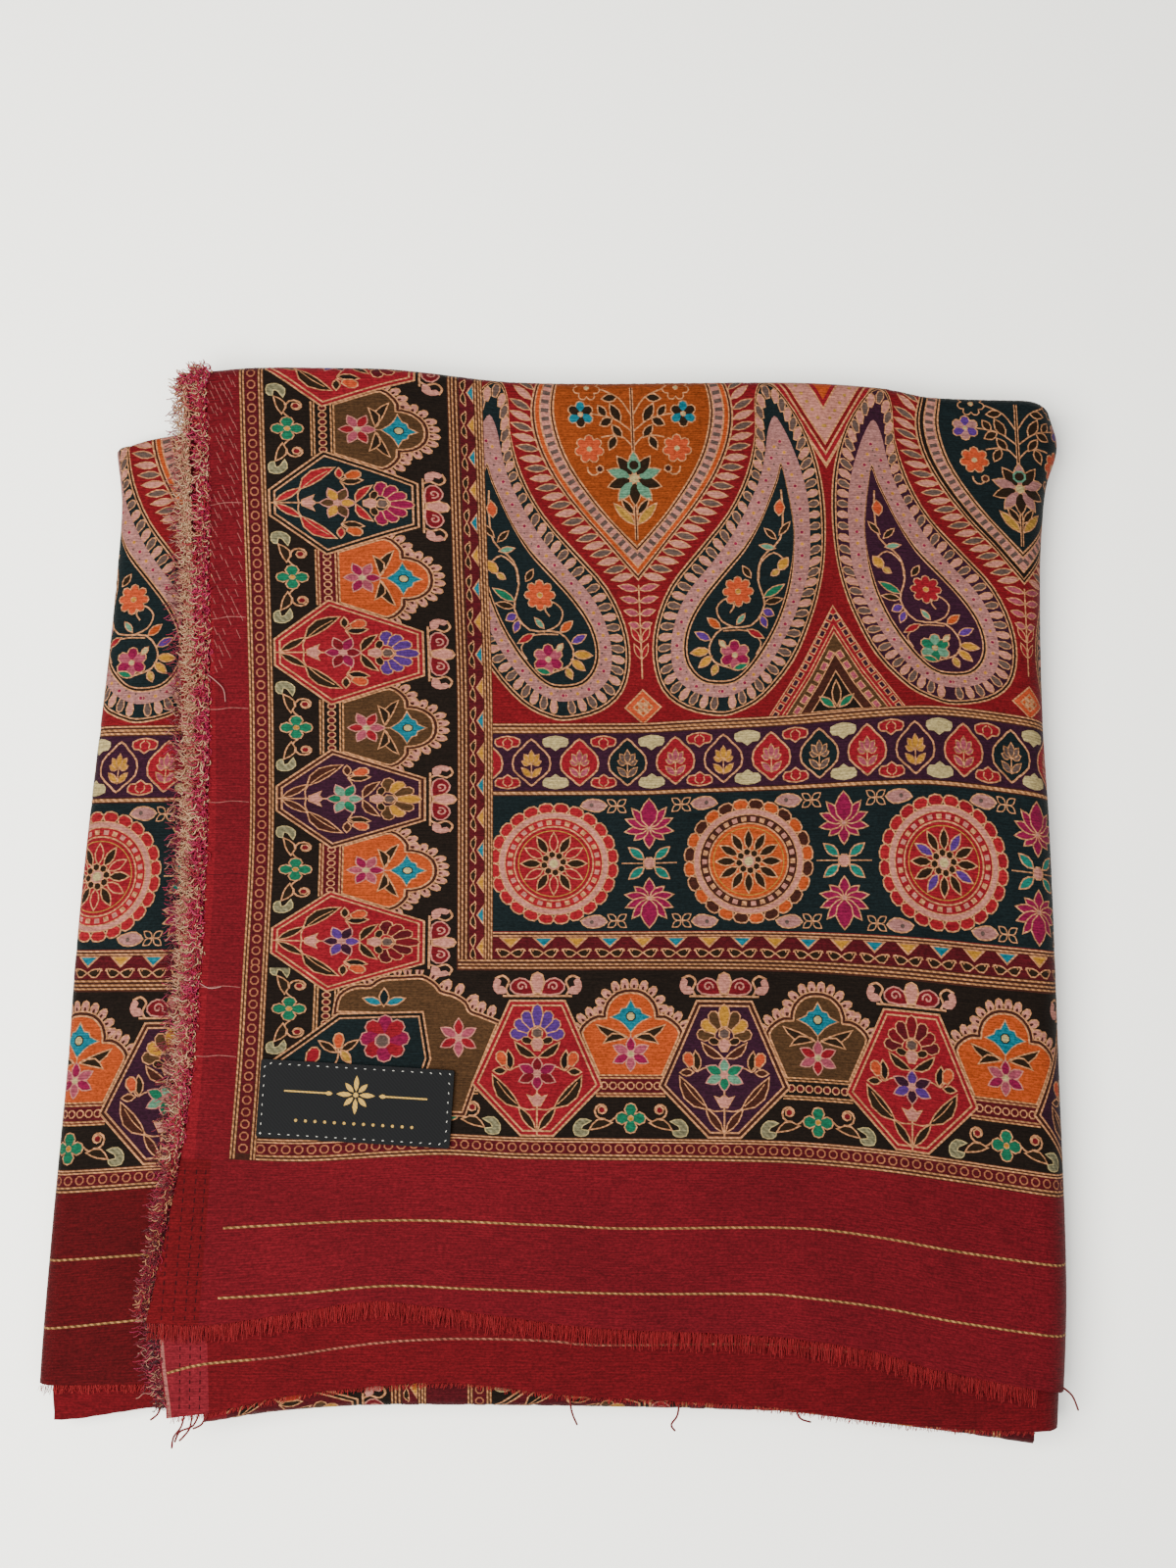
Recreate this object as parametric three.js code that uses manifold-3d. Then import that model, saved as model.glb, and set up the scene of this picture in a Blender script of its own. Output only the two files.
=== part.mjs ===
// A kani shawl folded flat: 1016 mm by 2032 mm of pashmina, folded in eight along its length
// and then in four across, so it lies 268 mm wide, 281 mm deep and about 18 mm high.
// Millimetres. +X is right, +Y is away from the open raw ends, +Z is up, z = 0 is the table.
// The stack has four units of eight plies. From the table up they are the lower unit, the column
// unit, whose top shows as the left column, the inner unit and the top unit. The top and lower
// units are one cloth that turns over round the right fold. The column and lower units turn over
// round the left fold.
import * as THREE from 'three';
import { mergeVertices } from 'three/addons/utils/BufferGeometryUtils.js';
import Module from 'manifold-3d';

const wasm = await Module();
wasm.setup();

const wall = 1.0;
const gap = 0.3;
const unitHeight = 4.2;
const columnTop = 2 * unitHeight;
const stackTop = 4 * unitHeight;
const reverseTop = stackTop - wall - gap;
const coreTop = reverseTop - wall - gap;
const columnReverseTop = columnTop - wall - gap;
const rightFoldRadius = stackTop / 2;
const leftFoldRadius = columnTop / 2;
const farLipRadius = 3.0;
const columnLipRadius = 1.6;
const endFoldRadius = 2.75;
const columnTuck = -80;

const selvedgeEdge = [
  { y: -109, x: -104.5 }, { y: -83, x: -99 }, { y: -64, x: -95.5 }, { y: -42, x: -93 },
  { y: 4, x: -90.5 }, { y: 45, x: -90 }, { y: 91, x: -90.5 }, { y: 140, x: -92 },
];
const reverseSelvedgeEdge = [
  { y: -134, x: -99 }, { y: -109, x: -101.5 }, { y: -64, x: -97 }, { y: 0, x: -94 },
  { y: 140, x: -95 },
];
const innerSelvedgeEdge = [
  { y: -134, x: -103 }, { y: -109, x: -104.5 }, { y: -64, x: -100.5 }, { y: 0, x: -98.5 },
  { y: 140, x: -99.5 },
];
const rightFoldEdge = [
  { y: -137, x: 132.5 }, { y: -101, x: 134 }, { y: -47, x: 133 }, { y: 16, x: 131.5 }, { y: 49, x: 130 },
  { y: 88, x: 130 }, { y: 111, x: 131.5 }, { y: 132, x: 132 },
];
const farCornerBulge = { y: 120.5, reach: 8, height: 3.2 };
const farFoldEdge = [
  { x: -92, y: 140 }, { x: -80, y: 141 }, { x: -60, y: 141 }, { x: -42, y: 140.5 }, { x: -8, y: 137 },
  { x: 64, y: 137 }, { x: 87, y: 135.5 }, { x: 100, y: 133 }, { x: 132, y: 132 },
];
const rawEndEdge = [
  { x: -104.5, y: -109 }, { x: -88, y: -109.5 }, { x: -47, y: -103.5 }, { x: -34, y: -104.5 },
  { x: 9, y: -110 }, { x: 57, y: -112.5 }, { x: 84, y: -116.5 }, { x: 97, y: -120.5 },
  { x: 132.5, y: -127.5 },
];
const reverseRawEndEdge = [
  { x: -99, y: -133.5 }, { x: -88, y: -132 }, { x: -66, y: -127.5 }, { x: -26, y: -124.5 },
  { x: 2, y: -127.5 }, { x: 55, y: -130.5 }, { x: 77, y: -133.5 }, { x: 104, y: -136 }, { x: 132, y: -137 },
];
const endFoldEdge = [
  { x: -90, y: -135.5 }, { x: -70, y: -132.5 }, { x: -42, y: -131 }, { x: 55, y: -132.5 },
  { x: 84, y: -135.5 }, { x: 104, y: -138 }, { x: 124, y: -140.8 },
];
const leftFoldEdge = [
  { y: -135, x: -134.6 }, { y: -127, x: -135 }, { y: -88, x: -132.5 }, { y: -43, x: -129 },
  { y: -16, x: -127.5 }, { y: 20, x: -124.5 }, { y: 69, x: -119.5 }, { y: 88, x: -118 },
  { y: 106, x: -117 }, { y: 120, x: -118.5 },
];
const columnRawEndEdge = [{ x: -135, y: -127 }, { x: -105, y: -126.5 }, { x: -80, y: -126 }];
const columnReverseEndEdge = [
  { x: -135, y: -136 }, { x: -126, y: -136 }, { x: -105, y: -133 }, { x: -80, y: -131 },
];
const lowerFarEdge = [
  { x: -119, y: 119.5 }, { x: -112, y: 122.5 }, { x: -103, y: 124.5 }, { x: -80, y: 128 }, { x: -40, y: 132 },
  { x: 20, y: 133.5 }, { x: 80, y: 132 }, { x: 124, y: 129.5 },
];
const lowerNearEdge = [
  { x: -133, y: -132 }, { x: -100, y: -131 }, { x: -60, y: -128.5 }, { x: 60, y: -130 }, { x: 124, y: -137 },
];

// Long soft waves of the top plies: where each one lies, how far it reaches along and across its
// line, the way that line turns from +X in degrees, and how high it stands.
const topWaves = [
  { x: 30, y: -92, along: 95, across: 16, turn: -6, height: 0.9 },
  { x: -60, y: -86, along: 40, across: 15, turn: 12, height: 0.6 },
  { x: 60, y: 20, along: 80, across: 22, turn: -3, height: 0.5 },
  { x: 20, y: 98, along: 100, across: 17, turn: 2, height: 0.8 },
  { x: 102, y: -10, along: 90, across: 15, turn: 88, height: 0.8 },
  { x: -70, y: 30, along: 90, across: 15, turn: 91, height: 0.5 },
];

// Reads a value out of an edge table, on the smooth curve through its rows.
function along(table, at, key, value) {
  const last = table.length - 1;
  const place = THREE.MathUtils.clamp(at, table[0][key], table[last][key]);
  let row = 0;
  while (row < last - 1 && table[row + 1][key] < place) row += 1;
  const slope = (i) => {
    const before = table[Math.max(i - 1, 0)];
    const after = table[Math.min(i + 1, last)];
    return (after[value] - before[value]) / (after[key] - before[key]);
  };
  const span = table[row + 1][key] - table[row][key];
  const t = (place - table[row][key]) / span;
  const rise = t * t * (3 - 2 * t);
  return table[row][value] * (1 - rise) + table[row + 1][value] * rise
    + span * (slope(row) * t * (1 - t) ** 2 - slope(row + 1) * t * t * (1 - t));
}

const xOn = (table, y) => along(table, y, 'y', 'x');
const yOn = (table, x) => along(table, x, 'x', 'y');
const leftFold = (y) => xOn(leftFoldEdge, y);
const rightFold = (y) => xOn(rightFoldEdge, y);
const bulgingRightFold = (y) => {
  const away = (y - farCornerBulge.y) / farCornerBulge.reach;
  return rightFold(y) + farCornerBulge.height * Math.exp(-away * away);
};

function topLift(x, y) {
  let lift = 0;
  for (const wave of topWaves) {
    const turn = THREE.MathUtils.degToRad(wave.turn);
    const dx = x - wave.x;
    const dy = y - wave.y;
    const a = (dx * Math.cos(turn) + dy * Math.sin(turn)) / wave.along;
    const b = (dy * Math.cos(turn) - dx * Math.sin(turn)) / wave.across;
    lift += wave.height * Math.exp(-a * a - b * b);
  }
  return lift;
}

const flat = () => 0;

// The point at shares s and t between four edges: left and right give x, near and far give y.
function between(edges, s, t) {
  let x = 0;
  let y = 0;
  for (let pass = 0; pass < 4; pass += 1) {
    x = THREE.MathUtils.lerp(edges.left(y), edges.right(y), s);
    y = THREE.MathUtils.lerp(edges.near(x), edges.far(x), t);
  }
  return { x, y };
}

function solidMesh(positions, indices) {
  const geometry = new THREE.BufferGeometry();
  geometry.setAttribute('position', new THREE.Float32BufferAttribute(positions, 3));
  geometry.setIndex(indices);
  return geometry;
}

// Joins a front grid and a back grid of points, with a rim round their border, as one closed solid.
function shellBetween(front, back, columns, rows) {
  const positions = [];
  const indices = [];
  for (const p of [...front, ...back]) positions.push(p.x, p.y, p.z);
  const offset = front.length;
  const at = (column, row) => row * columns + column;
  const quad = (a, b, c, d) => indices.push(a, b, c, a, c, d);
  for (let row = 0; row < rows - 1; row += 1) {
    for (let column = 0; column < columns - 1; column += 1) {
      const a = at(column, row);
      const b = at(column + 1, row);
      const c = at(column + 1, row + 1);
      const d = at(column, row + 1);
      quad(a, b, c, d);
      quad(offset + a, offset + d, offset + c, offset + b);
    }
  }
  const border = [];
  for (let column = 0; column < columns - 1; column += 1) border.push(at(column, 0));
  for (let row = 0; row < rows - 1; row += 1) border.push(at(columns - 1, row));
  for (let column = columns - 1; column > 0; column -= 1) border.push(at(column, rows - 1));
  for (let row = rows - 1; row > 0; row -= 1) border.push(at(0, row));
  border.forEach((a, i) => {
    const b = border[(i + 1) % border.length];
    quad(offset + a, offset + b, b, a);
  });
  return solidMesh(positions, indices);
}

// A ply of cloth. surface(u, v) is a point of its outer face. The wall's other face lies one wall's
// thickness inside it. side is -1 where u runs from right to left.
function ply(surface, us, vs, side = 1) {
  const step = 1e-3;
  const front = [];
  const back = [];
  for (const v of vs) {
    for (const u of us) {
      const p = surface(u, v);
      const du = surface(u + step, v).sub(surface(u - step, v));
      const dv = surface(u, v + step).sub(surface(u, v - step));
      const normal = du.cross(dv).normalize();
      front.push(p);
      back.push(p.clone().addScaledVector(normal, -wall * side));
    }
  }
  return shellBetween(front, back, us.length, vs.length);
}

const even = (count) => Array.from({ length: count + 1 }, (_, i) => i / count);

// Shares for a ply with a fold: the flat stretch runs from 0 to 1, the turn from 1 to 2.
const foldedShares = (flatSteps, turnSteps) => [
  ...even(flatSteps),
  ...even(turnSteps).slice(1).map((share) => 1 + share),
];

// The flat stretch between four edges, then a half turn down round the fold at its right, and a lip
// that rolls over its far edge. side is 1 with the fold at the right and -1 with it at the left.
function foldedSurface({ open, fold, near, far, top, radius, lip, lipTurn, side, lift }) {
  const tangent = (y) => fold(y) - side * radius;
  const centre = top - radius;
  return (u, v) => {
    const lipAngle = Math.max(v - 1, 0) * lipTurn;
    const inset = lip * (1 - Math.cos(lipAngle));
    const reach = lip * Math.sin(lipAngle);
    const edges = { left: open, right: tangent, near, far: (x) => far(x) - lip };
    const { x, y } = between(edges, Math.min(u, 1), Math.min(v, 1));
    if (u <= 1) return new THREE.Vector3(x, y + reach, top - inset + lift(x, y));
    const angle = (u - 1) * Math.PI;
    const r = radius - inset;
    const edgeLift = lift(x, y) * Math.max(Math.cos(angle), 0);
    return new THREE.Vector3(
      x + side * r * Math.sin(angle),
      y + reach,
      centre + r * Math.cos(angle) + edgeLift,
    );
  };
}

// How a layer's edge is rolled: how far in from the edge, and how high there, as shares of its radius.
const rimRoll = [{ inset: 0, half: 0.35 }, { inset: 0.3, half: 0.8 }, { inset: 1, half: 1 }];

// A rounded layer between four edges, as thick as high - low, with its edges rolled half round.
function layer({ left, right, near, far, low, high, lift = flat }, columns, rows) {
  const radius = (high - low) / 2;
  const middle = low + radius;
  const lines = (count) => [
    ...rimRoll.map(({ inset, half }) => ({ share: 0, inset: inset * radius, half })),
    ...even(count).slice(1, -1).map((share) => ({ share, inset: 0, half: 1 })),
    ...rimRoll.toReversed().map(({ inset, half }) => ({ share: 1, inset: -inset * radius, half })),
  ];
  const edges = { left, right, near, far };
  const upper = [];
  const lower = [];
  const us = lines(columns);
  const vs = lines(rows);
  for (const v of vs) {
    for (const u of us) {
      const place = between(edges, u.share, v.share);
      const x = place.x + u.inset;
      const y = place.y + v.inset;
      const half = radius * Math.min(u.half, v.half);
      upper.push(new THREE.Vector3(x, y, middle + half + lift(x, y)));
      lower.push(new THREE.Vector3(x, y, middle - half));
    }
  }
  return shellBetween(upper, lower, us.length, vs.length);
}

function toSolid(geometry) {
  const plain = geometry.clone();
  plain.deleteAttribute('normal');
  plain.deleteAttribute('uv');
  const merged = mergeVertices(plain, 1e-4);
  return new wasm.Manifold(new wasm.Mesh({
    numProp: 3,
    vertProperties: Float32Array.from(merged.attributes.position.array),
    triVerts: Uint32Array.from(merged.index.array),
  }));
}

function joined(geometries) {
  const solid = geometries.map(toSolid).reduce((whole, piece) => whole.add(piece));
  const { vertProperties, triVerts } = solid.getMesh();
  return solidMesh(Array.from(vertProperties), Array.from(triVerts));
}

const shawl = new THREE.Group();

function addMesh(name, geometry, color) {
  geometry.computeVertexNormals();
  const material = new THREE.MeshStandardMaterial({ color, roughness: 0.85, metalness: 0 });
  const mesh = new THREE.Mesh(geometry, material);
  mesh.name = name;
  shawl.add(mesh);
}

const crimson = 0x7a2022;
const reverseRed = 0x721414;

// Top ply: right side up, over the right fold and with a lip over the far fold.
const topSurface = foldedSurface({
  open: (y) => xOn(selvedgeEdge, y),
  fold: bulgingRightFold,
  near: (x) => yOn(rawEndEdge, x),
  far: (x) => yOn(farFoldEdge, x),
  top: stackTop,
  radius: rightFoldRadius,
  lip: farLipRadius,
  lipTurn: THREE.MathUtils.degToRad(80),
  side: 1,
  lift: topLift,
});
const topRows = [...foldedShares(16, 4), 0.907, 0.965].sort((a, b) => a - b);
addMesh('top_panel', ply(topSurface, foldedShares(20, 9), topRows), crimson);

// The ply below it, wrong side up, whose end shows along the near side.
const reverseFarInset = 3.5;
const reverseSurface = foldedSurface({
  open: (y) => xOn(reverseSelvedgeEdge, y),
  fold: (y) => rightFold(y) - wall - gap,
  near: (x) => yOn(reverseRawEndEdge, x),
  far: (x) => yOn(farFoldEdge, x) - reverseFarInset,
  top: reverseTop,
  radius: rightFoldRadius - wall - gap,
  lip: 0,
  lipTurn: 0,
  side: 1,
  lift: topLift,
});
addMesh('reverse_panel', ply(reverseSurface, foldedShares(16, 9), even(16)), reverseRed);

// The left column: right side up, over the left fold, and tucked under the inner unit.
const columnSurface = foldedSurface({
  open: () => columnTuck,
  fold: leftFold,
  near: (x) => yOn(columnRawEndEdge, x),
  far: (x) => yOn(lowerFarEdge, x),
  top: columnTop,
  radius: leftFoldRadius,
  lip: columnLipRadius,
  lipTurn: THREE.MathUtils.degToRad(70),
  side: -1,
  lift: flat,
});
const columnShares = foldedShares(4, 7).toReversed();
addMesh('left_panel', ply(columnSurface, columnShares, foldedShares(12, 3), -1), crimson);

// The ply below the left column, wrong side up, whose end shows past the column's own.
const columnReverseInset = { left: 4.2, far: 4 };
const columnReverse = ply((u, v) => {
  const { x, y } = between({
    left: (at) => leftFold(at) + columnReverseInset.left,
    right: () => columnTuck,
    near: (at) => yOn(columnReverseEndEdge, at),
    far: (at) => yOn(lowerFarEdge, at) - columnReverseInset.far,
  }, u, v);
  return new THREE.Vector3(x, y, columnReverseTop);
}, even(4), even(10));
addMesh('left_reverse_panel', columnReverse, reverseRed);

// The underside: flat on the table between the two folds.
const baseInset = { side: 0.8, near: 1.5, far: 2 };
const underside = ply((u, v) => {
  const { x, y } = between({
    left: (at) => leftFold(at) + leftFoldRadius + baseInset.side,
    right: (at) => rightFold(at) - rightFoldRadius - baseInset.side,
    near: (at) => yOn(lowerNearEdge, at) + baseInset.near,
    far: (at) => yOn(lowerFarEdge, at) - baseInset.far,
  }, u, v);
  return new THREE.Vector3(x, y, wall);
}, even(8), even(12));
addMesh('base_panel', underside, crimson);

// The patterned fold that peeps out below the wrong-side end.
const endFoldDepth = 12;
const endFoldTurn = THREE.MathUtils.degToRad(165);
const endFoldSurface = (u, v) => {
  const x = THREE.MathUtils.lerp(-90, 124, u);
  const nose = yOn(endFoldEdge, x);
  const centre = nose + endFoldRadius;
  if (v >= 1) {
    const y = THREE.MathUtils.lerp(centre, nose + endFoldDepth, v - 1);
    return new THREE.Vector3(x, y, coreTop + topLift(x, y));
  }
  const angle = (1 - v) * endFoldTurn;
  const lift = topLift(x, centre) * Math.max(Math.cos(angle), 0);
  return new THREE.Vector3(
    x,
    centre - endFoldRadius * Math.sin(angle),
    coreTop - endFoldRadius + endFoldRadius * Math.cos(angle) + lift,
  );
};
addMesh('end_fold', ply(endFoldSurface, even(18), [...even(5), 1.5, 2]), 0x9c2224);

// The plies that are hidden: one solid of rounded layers, which show only at the edges. Each row
// gives a layer's left edge, how far inside the right fold, the near edge and the far edge it
// stops, and its lowest and highest level.
const besideFold = (y) => leftFold(y) + 3.4;
const besideTuck = () => columnTuck + 4;
const besideInner = (y) => xOn(innerSelvedgeEdge, y);
const besideReverse = (y) => xOn(reverseSelvedgeEdge, y) + 0.8;
const lowerEdges = { near: lowerNearEdge, far: lowerFarEdge };
const upperEdges = { near: endFoldEdge, far: farFoldEdge };
const hiddenLayers = [
  { left: besideFold, right: 9, ...inset(lowerEdges, 0.5, 3), low: wall + gap, high: 3.8, steps: 9 },
  { left: besideFold, right: 4.6, ...inset(lowerEdges, 0, 2.2), low: 3.4, high: 5.8, steps: 9 },
  { left: besideTuck, right: 3.6, ...inset(lowerEdges, 5, 4), low: 5.2, high: 9.6, steps: 7 },
  { left: besideInner, right: 3.6, ...inset(upperEdges, 3.4, 1.2), low: 8.7, high: 12.3, steps: 9 },
  {
    left: besideReverse, right: 7.4, ...inset(upperEdges, 12.3, 3.2),
    low: 11.6, high: 13.95, steps: 14, lift: topLift,
  },
];
function inset({ near, far }, nearInset, farInset) {
  return { near: (x) => yOn(near, x) + nearInset, far: (x) => yOn(far, x) - farInset };
}
const hidden = hiddenLayers.map(({ right, steps, ...row }) =>
  layer({ ...row, right: (y) => rightFold(y) - right }, steps, steps));
addMesh('hidden_layers', joined(hidden), 0x5f2a24);

// The woven label, flat on the top ply near the corner.
const label = { x: -51, y: -53, width: 50, depth: 20, thickness: 0.8, turn: -3.5, bed: 0.05 };
const labelTurn = THREE.MathUtils.degToRad(label.turn);
const labelPoint = (u, v, height) => {
  const across = (u - 0.5) * label.width;
  const up = (v - 0.5) * label.depth;
  const x = label.x + across * Math.cos(labelTurn) - up * Math.sin(labelTurn);
  const y = label.y + across * Math.sin(labelTurn) + up * Math.cos(labelTurn);
  return new THREE.Vector3(x, y, stackTop + topLift(x, y) + gap + label.bed + height);
};
const labelColumns = even(6);
const labelRows = even(3);
const labelGrid = (height) => labelRows.flatMap((v) => labelColumns.map((u) => labelPoint(u, v, height)));
const labelFace = labelGrid(label.thickness);
addMesh('label', shellBetween(labelFace, labelGrid(0), labelColumns.length, labelRows.length), 0x1c1d20);

// A fringe: three-sided strands along an edge, their roots in a narrow strip beside the cloth.
// edgePoint(share) is a point of the edge at the strip's middle height, outward its direction.
const stripWidth = 1.1;
const strandRadius = 0.42;
const cycle = [0.35, 0.9, 0.1, 0.7, 0.5, 1.0, 0.25, 0.6];

function strand(root, outward, tangent, length, droop, sway) {
  const up = new THREE.Vector3(0, 0, 1);
  const side = tangent.clone().normalize();
  const bend = root.clone().addScaledVector(outward, length * 0.55).addScaledVector(side, sway * 0.4);
  bend.z -= droop * 0.3;
  const tip = root.clone().addScaledVector(outward, length).addScaledVector(side, sway);
  tip.z -= droop;
  const rootIn = root.clone().addScaledVector(outward, -stripWidth * 0.45);
  const rings = [[rootIn, strandRadius], [bend, strandRadius * 0.75]].map(([centre, radius]) =>
    [90, 210, 330].map((degrees) => {
      const angle = THREE.MathUtils.degToRad(degrees);
      return centre.clone()
        .addScaledVector(side, radius * Math.cos(angle))
        .addScaledVector(up, radius * Math.sin(angle));
    }));
  const points = [...rings[0], ...rings[1], tip];
  const indices = [0, 2, 1];
  for (let i = 0; i < 3; i += 1) {
    const next = (i + 1) % 3;
    indices.push(i, next, 3 + next, i, 3 + next, 3 + i, 3 + i, 3 + next, 6);
  }
  return facingOut(solidMesh(points.flatMap((p) => [p.x, p.y, p.z]), indices));
}

// The same closed mesh with its faces turned outwards, told by the sign of its volume.
function facingOut(geometry) {
  const position = geometry.attributes.position;
  const corner = (i) => new THREE.Vector3().fromBufferAttribute(position, geometry.index.getX(i));
  let volume = 0;
  for (let i = 0; i < geometry.index.count; i += 3) {
    volume += corner(i).dot(corner(i + 1).cross(corner(i + 2)));
  }
  if (volume > 0) return geometry;
  const turned = Array.from(geometry.index.array);
  for (let i = 0; i < turned.length; i += 3) [turned[i + 1], turned[i + 2]] = [turned[i + 2], turned[i + 1]];
  return solidMesh(Array.from(position.array), turned);
}

function fringe({ edgePoint, outward, count, length, droop, strip = wall * 0.9 }) {
  const steps = Math.max(3, Math.round(count / 2));
  const upper = [];
  const lower = [];
  for (const v of [0, 1]) {
    for (const share of even(steps)) {
      const p = edgePoint(share);
      const place = p.clone().addScaledVector(outward, (v - 0.5) * stripWidth);
      upper.push(place.clone().setZ(p.z + strip / 2));
      lower.push(place.clone().setZ(p.z - strip / 2));
    }
  }
  const pieces = [facingOut(shellBetween(upper, lower, steps + 1, 2))];
  for (let i = 0; i < count; i += 1) {
    const share = (i + 0.5) / count;
    const before = edgePoint(share - 0.4 / count);
    const after = edgePoint(share + 0.4 / count);
    const root = edgePoint(share);
    const vary = cycle[i % cycle.length];
    const sway = (cycle[(i * 3 + 1) % cycle.length] - 0.5) * 2.6;
    const reach = length * (0.72 + 0.28 * vary);
    pieces.push(strand(root, outward, after.sub(before), reach, droop * (0.6 + 0.4 * vary), sway));
  }
  return joined(pieces);
}

const leftward = new THREE.Vector3(-1, 0, 0);
const nearward = new THREE.Vector3(0, -1, 0);
const stripOffset = gap + stripWidth / 2;

const sideFringe = (table, fromY, toY, height, lift) => (share) => {
  const y = THREE.MathUtils.lerp(fromY, toY, share);
  const x = xOn(table, y) - stripOffset;
  return new THREE.Vector3(x, y, height + lift(xOn(table, y), y));
};
const endFringe = (table, fromX, toX, height, lift) => (share) => {
  const x = THREE.MathUtils.lerp(fromX, toX, share);
  const y = yOn(table, x) - stripOffset;
  return new THREE.Vector3(x, y, height + lift(x, yOn(table, x)));
};

const topMiddle = stackTop - wall / 2;
const reverseMiddle = reverseTop - wall / 2;
addMesh('selvedge_fringe', fringe({
  edgePoint: sideFringe(selvedgeEdge, -107, 133, topMiddle, topLift),
  outward: leftward, count: 46, length: 5.2, droop: 0.8,
}), 0xb0305c);
addMesh('reverse_selvedge_fringe', fringe({
  edgePoint: sideFringe(reverseSelvedgeEdge, -131, 131, reverseMiddle, topLift),
  outward: leftward, count: 44, length: 5.4, droop: 1.5,
}), 0xd8a8b0);
addMesh('inner_selvedge_fringe', fringe({
  edgePoint: sideFringe(innerSelvedgeEdge, -128, 134, 10.6, flat),
  outward: leftward, count: 42, length: 4.6, droop: 1.1,
}), 0x5a1a2a);
addMesh('raw_end_fringe', fringe({
  edgePoint: endFringe(rawEndEdge, -103, 122, topMiddle, topLift),
  outward: nearward, count: 44, length: 3.2, droop: 0.15,
}), 0x962022);
addMesh('reverse_raw_end_fringe', fringe({
  edgePoint: endFringe(reverseRawEndEdge, -97, 122, reverseMiddle, topLift),
  outward: nearward, count: 42, length: 2.6, droop: 0.5,
}), 0x962022);
addMesh('left_end_fringe', fringe({
  edgePoint: endFringe(columnRawEndEdge, -130, -106, columnTop - wall / 2, flat),
  outward: nearward, count: 6, length: 3.0, droop: 0.1,
}), 0x962022);

export default shawl;
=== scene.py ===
import math
import bpy
import numpy as np
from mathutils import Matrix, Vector
from mathutils.geometry import delaunay_2d_cdt


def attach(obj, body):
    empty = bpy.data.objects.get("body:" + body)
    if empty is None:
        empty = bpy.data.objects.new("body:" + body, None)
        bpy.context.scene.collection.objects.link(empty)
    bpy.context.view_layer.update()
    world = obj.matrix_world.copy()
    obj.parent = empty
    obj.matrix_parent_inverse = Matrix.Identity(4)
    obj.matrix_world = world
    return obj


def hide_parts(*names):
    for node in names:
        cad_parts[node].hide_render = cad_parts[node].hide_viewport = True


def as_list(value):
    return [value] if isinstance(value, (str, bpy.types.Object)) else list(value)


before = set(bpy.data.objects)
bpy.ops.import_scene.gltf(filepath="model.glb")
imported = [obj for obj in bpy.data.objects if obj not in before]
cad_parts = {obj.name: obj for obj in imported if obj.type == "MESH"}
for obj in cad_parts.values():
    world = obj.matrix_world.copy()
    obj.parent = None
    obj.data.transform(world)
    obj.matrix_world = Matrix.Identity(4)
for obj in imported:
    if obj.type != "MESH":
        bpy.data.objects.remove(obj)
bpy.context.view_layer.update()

MM = 0.001
RNG = np.random.default_rng(11)

# Sizes of the folded stack, as the solids have them.
WALL, GAP = 1.0, 0.3
UNIT = 4.2
STACK_TOP, COLUMN_TOP = 4 * UNIT, 2 * UNIT
RIGHT_RADIUS, LEFT_RADIUS = STACK_TOP / 2, COLUMN_TOP / 2
FAR_LIP, COLUMN_LIP, END_RADIUS = 3.0, 1.6, 2.75
REVERSE_TOP = STACK_TOP - WALL - GAP
CORE_TOP = REVERSE_TOP - WALL - GAP
COLUMN_REVERSE_TOP = COLUMN_TOP - WALL - GAP
CLOTH = 0.5

# A flat point less this lies near its place on the table, for the top plies and for the left column.
TOP_SHIFT = (90.2, 116.5)
COLUMN_SHIFT = (136, 116.5)
# How far the tables of the far and side edges reach, and how often a place is worked out again.
FAR_SPAN = (-92, 132)
SIDE_SPAN = (-140, 140)
ROUNDS = 5

# The plies' edges: x at each y for those along the warp, and y at each x for those along the weft.
SELVEDGE = [(-109, -104.5), (-83, -99), (-64, -95.5), (-42, -93), (4, -90.5), (45, -90), (91, -90.5),
    (140, -92)]
REVERSE_SELVEDGE = [(-134, -99), (-109, -101.5), (-64, -97), (0, -94), (140, -95)]
INNER_SELVEDGE = [(-134, -103), (-109, -104.5), (-64, -100.5), (0, -98.5), (140, -99.5)]
RIGHT_FOLD = [(-137, 132.5), (-101, 134), (-47, 133), (16, 131.5), (49, 130), (88, 130), (111, 131.5),
    (132, 132)]
FAR_FOLD = [(-92, 140), (-80, 141), (-60, 141), (-42, 140.5), (-8, 137), (64, 137), (87, 135.5),
    (100, 133), (132, 132)]
RAW_END = [(-104.5, -109), (-88, -109.5), (-47, -103.5), (-34, -104.5), (9, -110), (57, -112.5),
    (84, -116.5), (97, -120.5), (132.5, -127.5)]
REVERSE_END = [(-99, -133.5), (-88, -132), (-66, -127.5), (-26, -124.5), (2, -127.5), (55, -130.5),
    (77, -133.5), (104, -136), (132, -137)]
END_FOLD = [(-90, -135.5), (-70, -132.5), (-42, -131), (55, -132.5), (84, -135.5), (104, -138),
    (124, -140.8)]
LEFT_FOLD = [(-135, -134.6), (-127, -135), (-88, -132.5), (-43, -129), (-16, -127.5), (20, -124.5),
    (69, -119.5), (88, -118), (106, -117), (120, -118.5)]
COLUMN_END = [(-135, -127), (-105, -126.5), (-80, -126)]
COLUMN_REVERSE_END = [(-135, -136), (-126, -136), (-105, -133), (-80, -131)]
LOWER_FAR = [(-119, 119.5), (-112, 122.5), (-103, 124.5), (-80, 128), (-40, 132), (20, 133.5), (80, 132),
    (124, 129.5)]
LOWER_NEAR = [(-133, -132), (-100, -131), (-60, -128.5), (60, -130), (124, -137)]
CORNER_BULGE = {"y": 120.5, "reach": 8, "height": 3.2}

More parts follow.
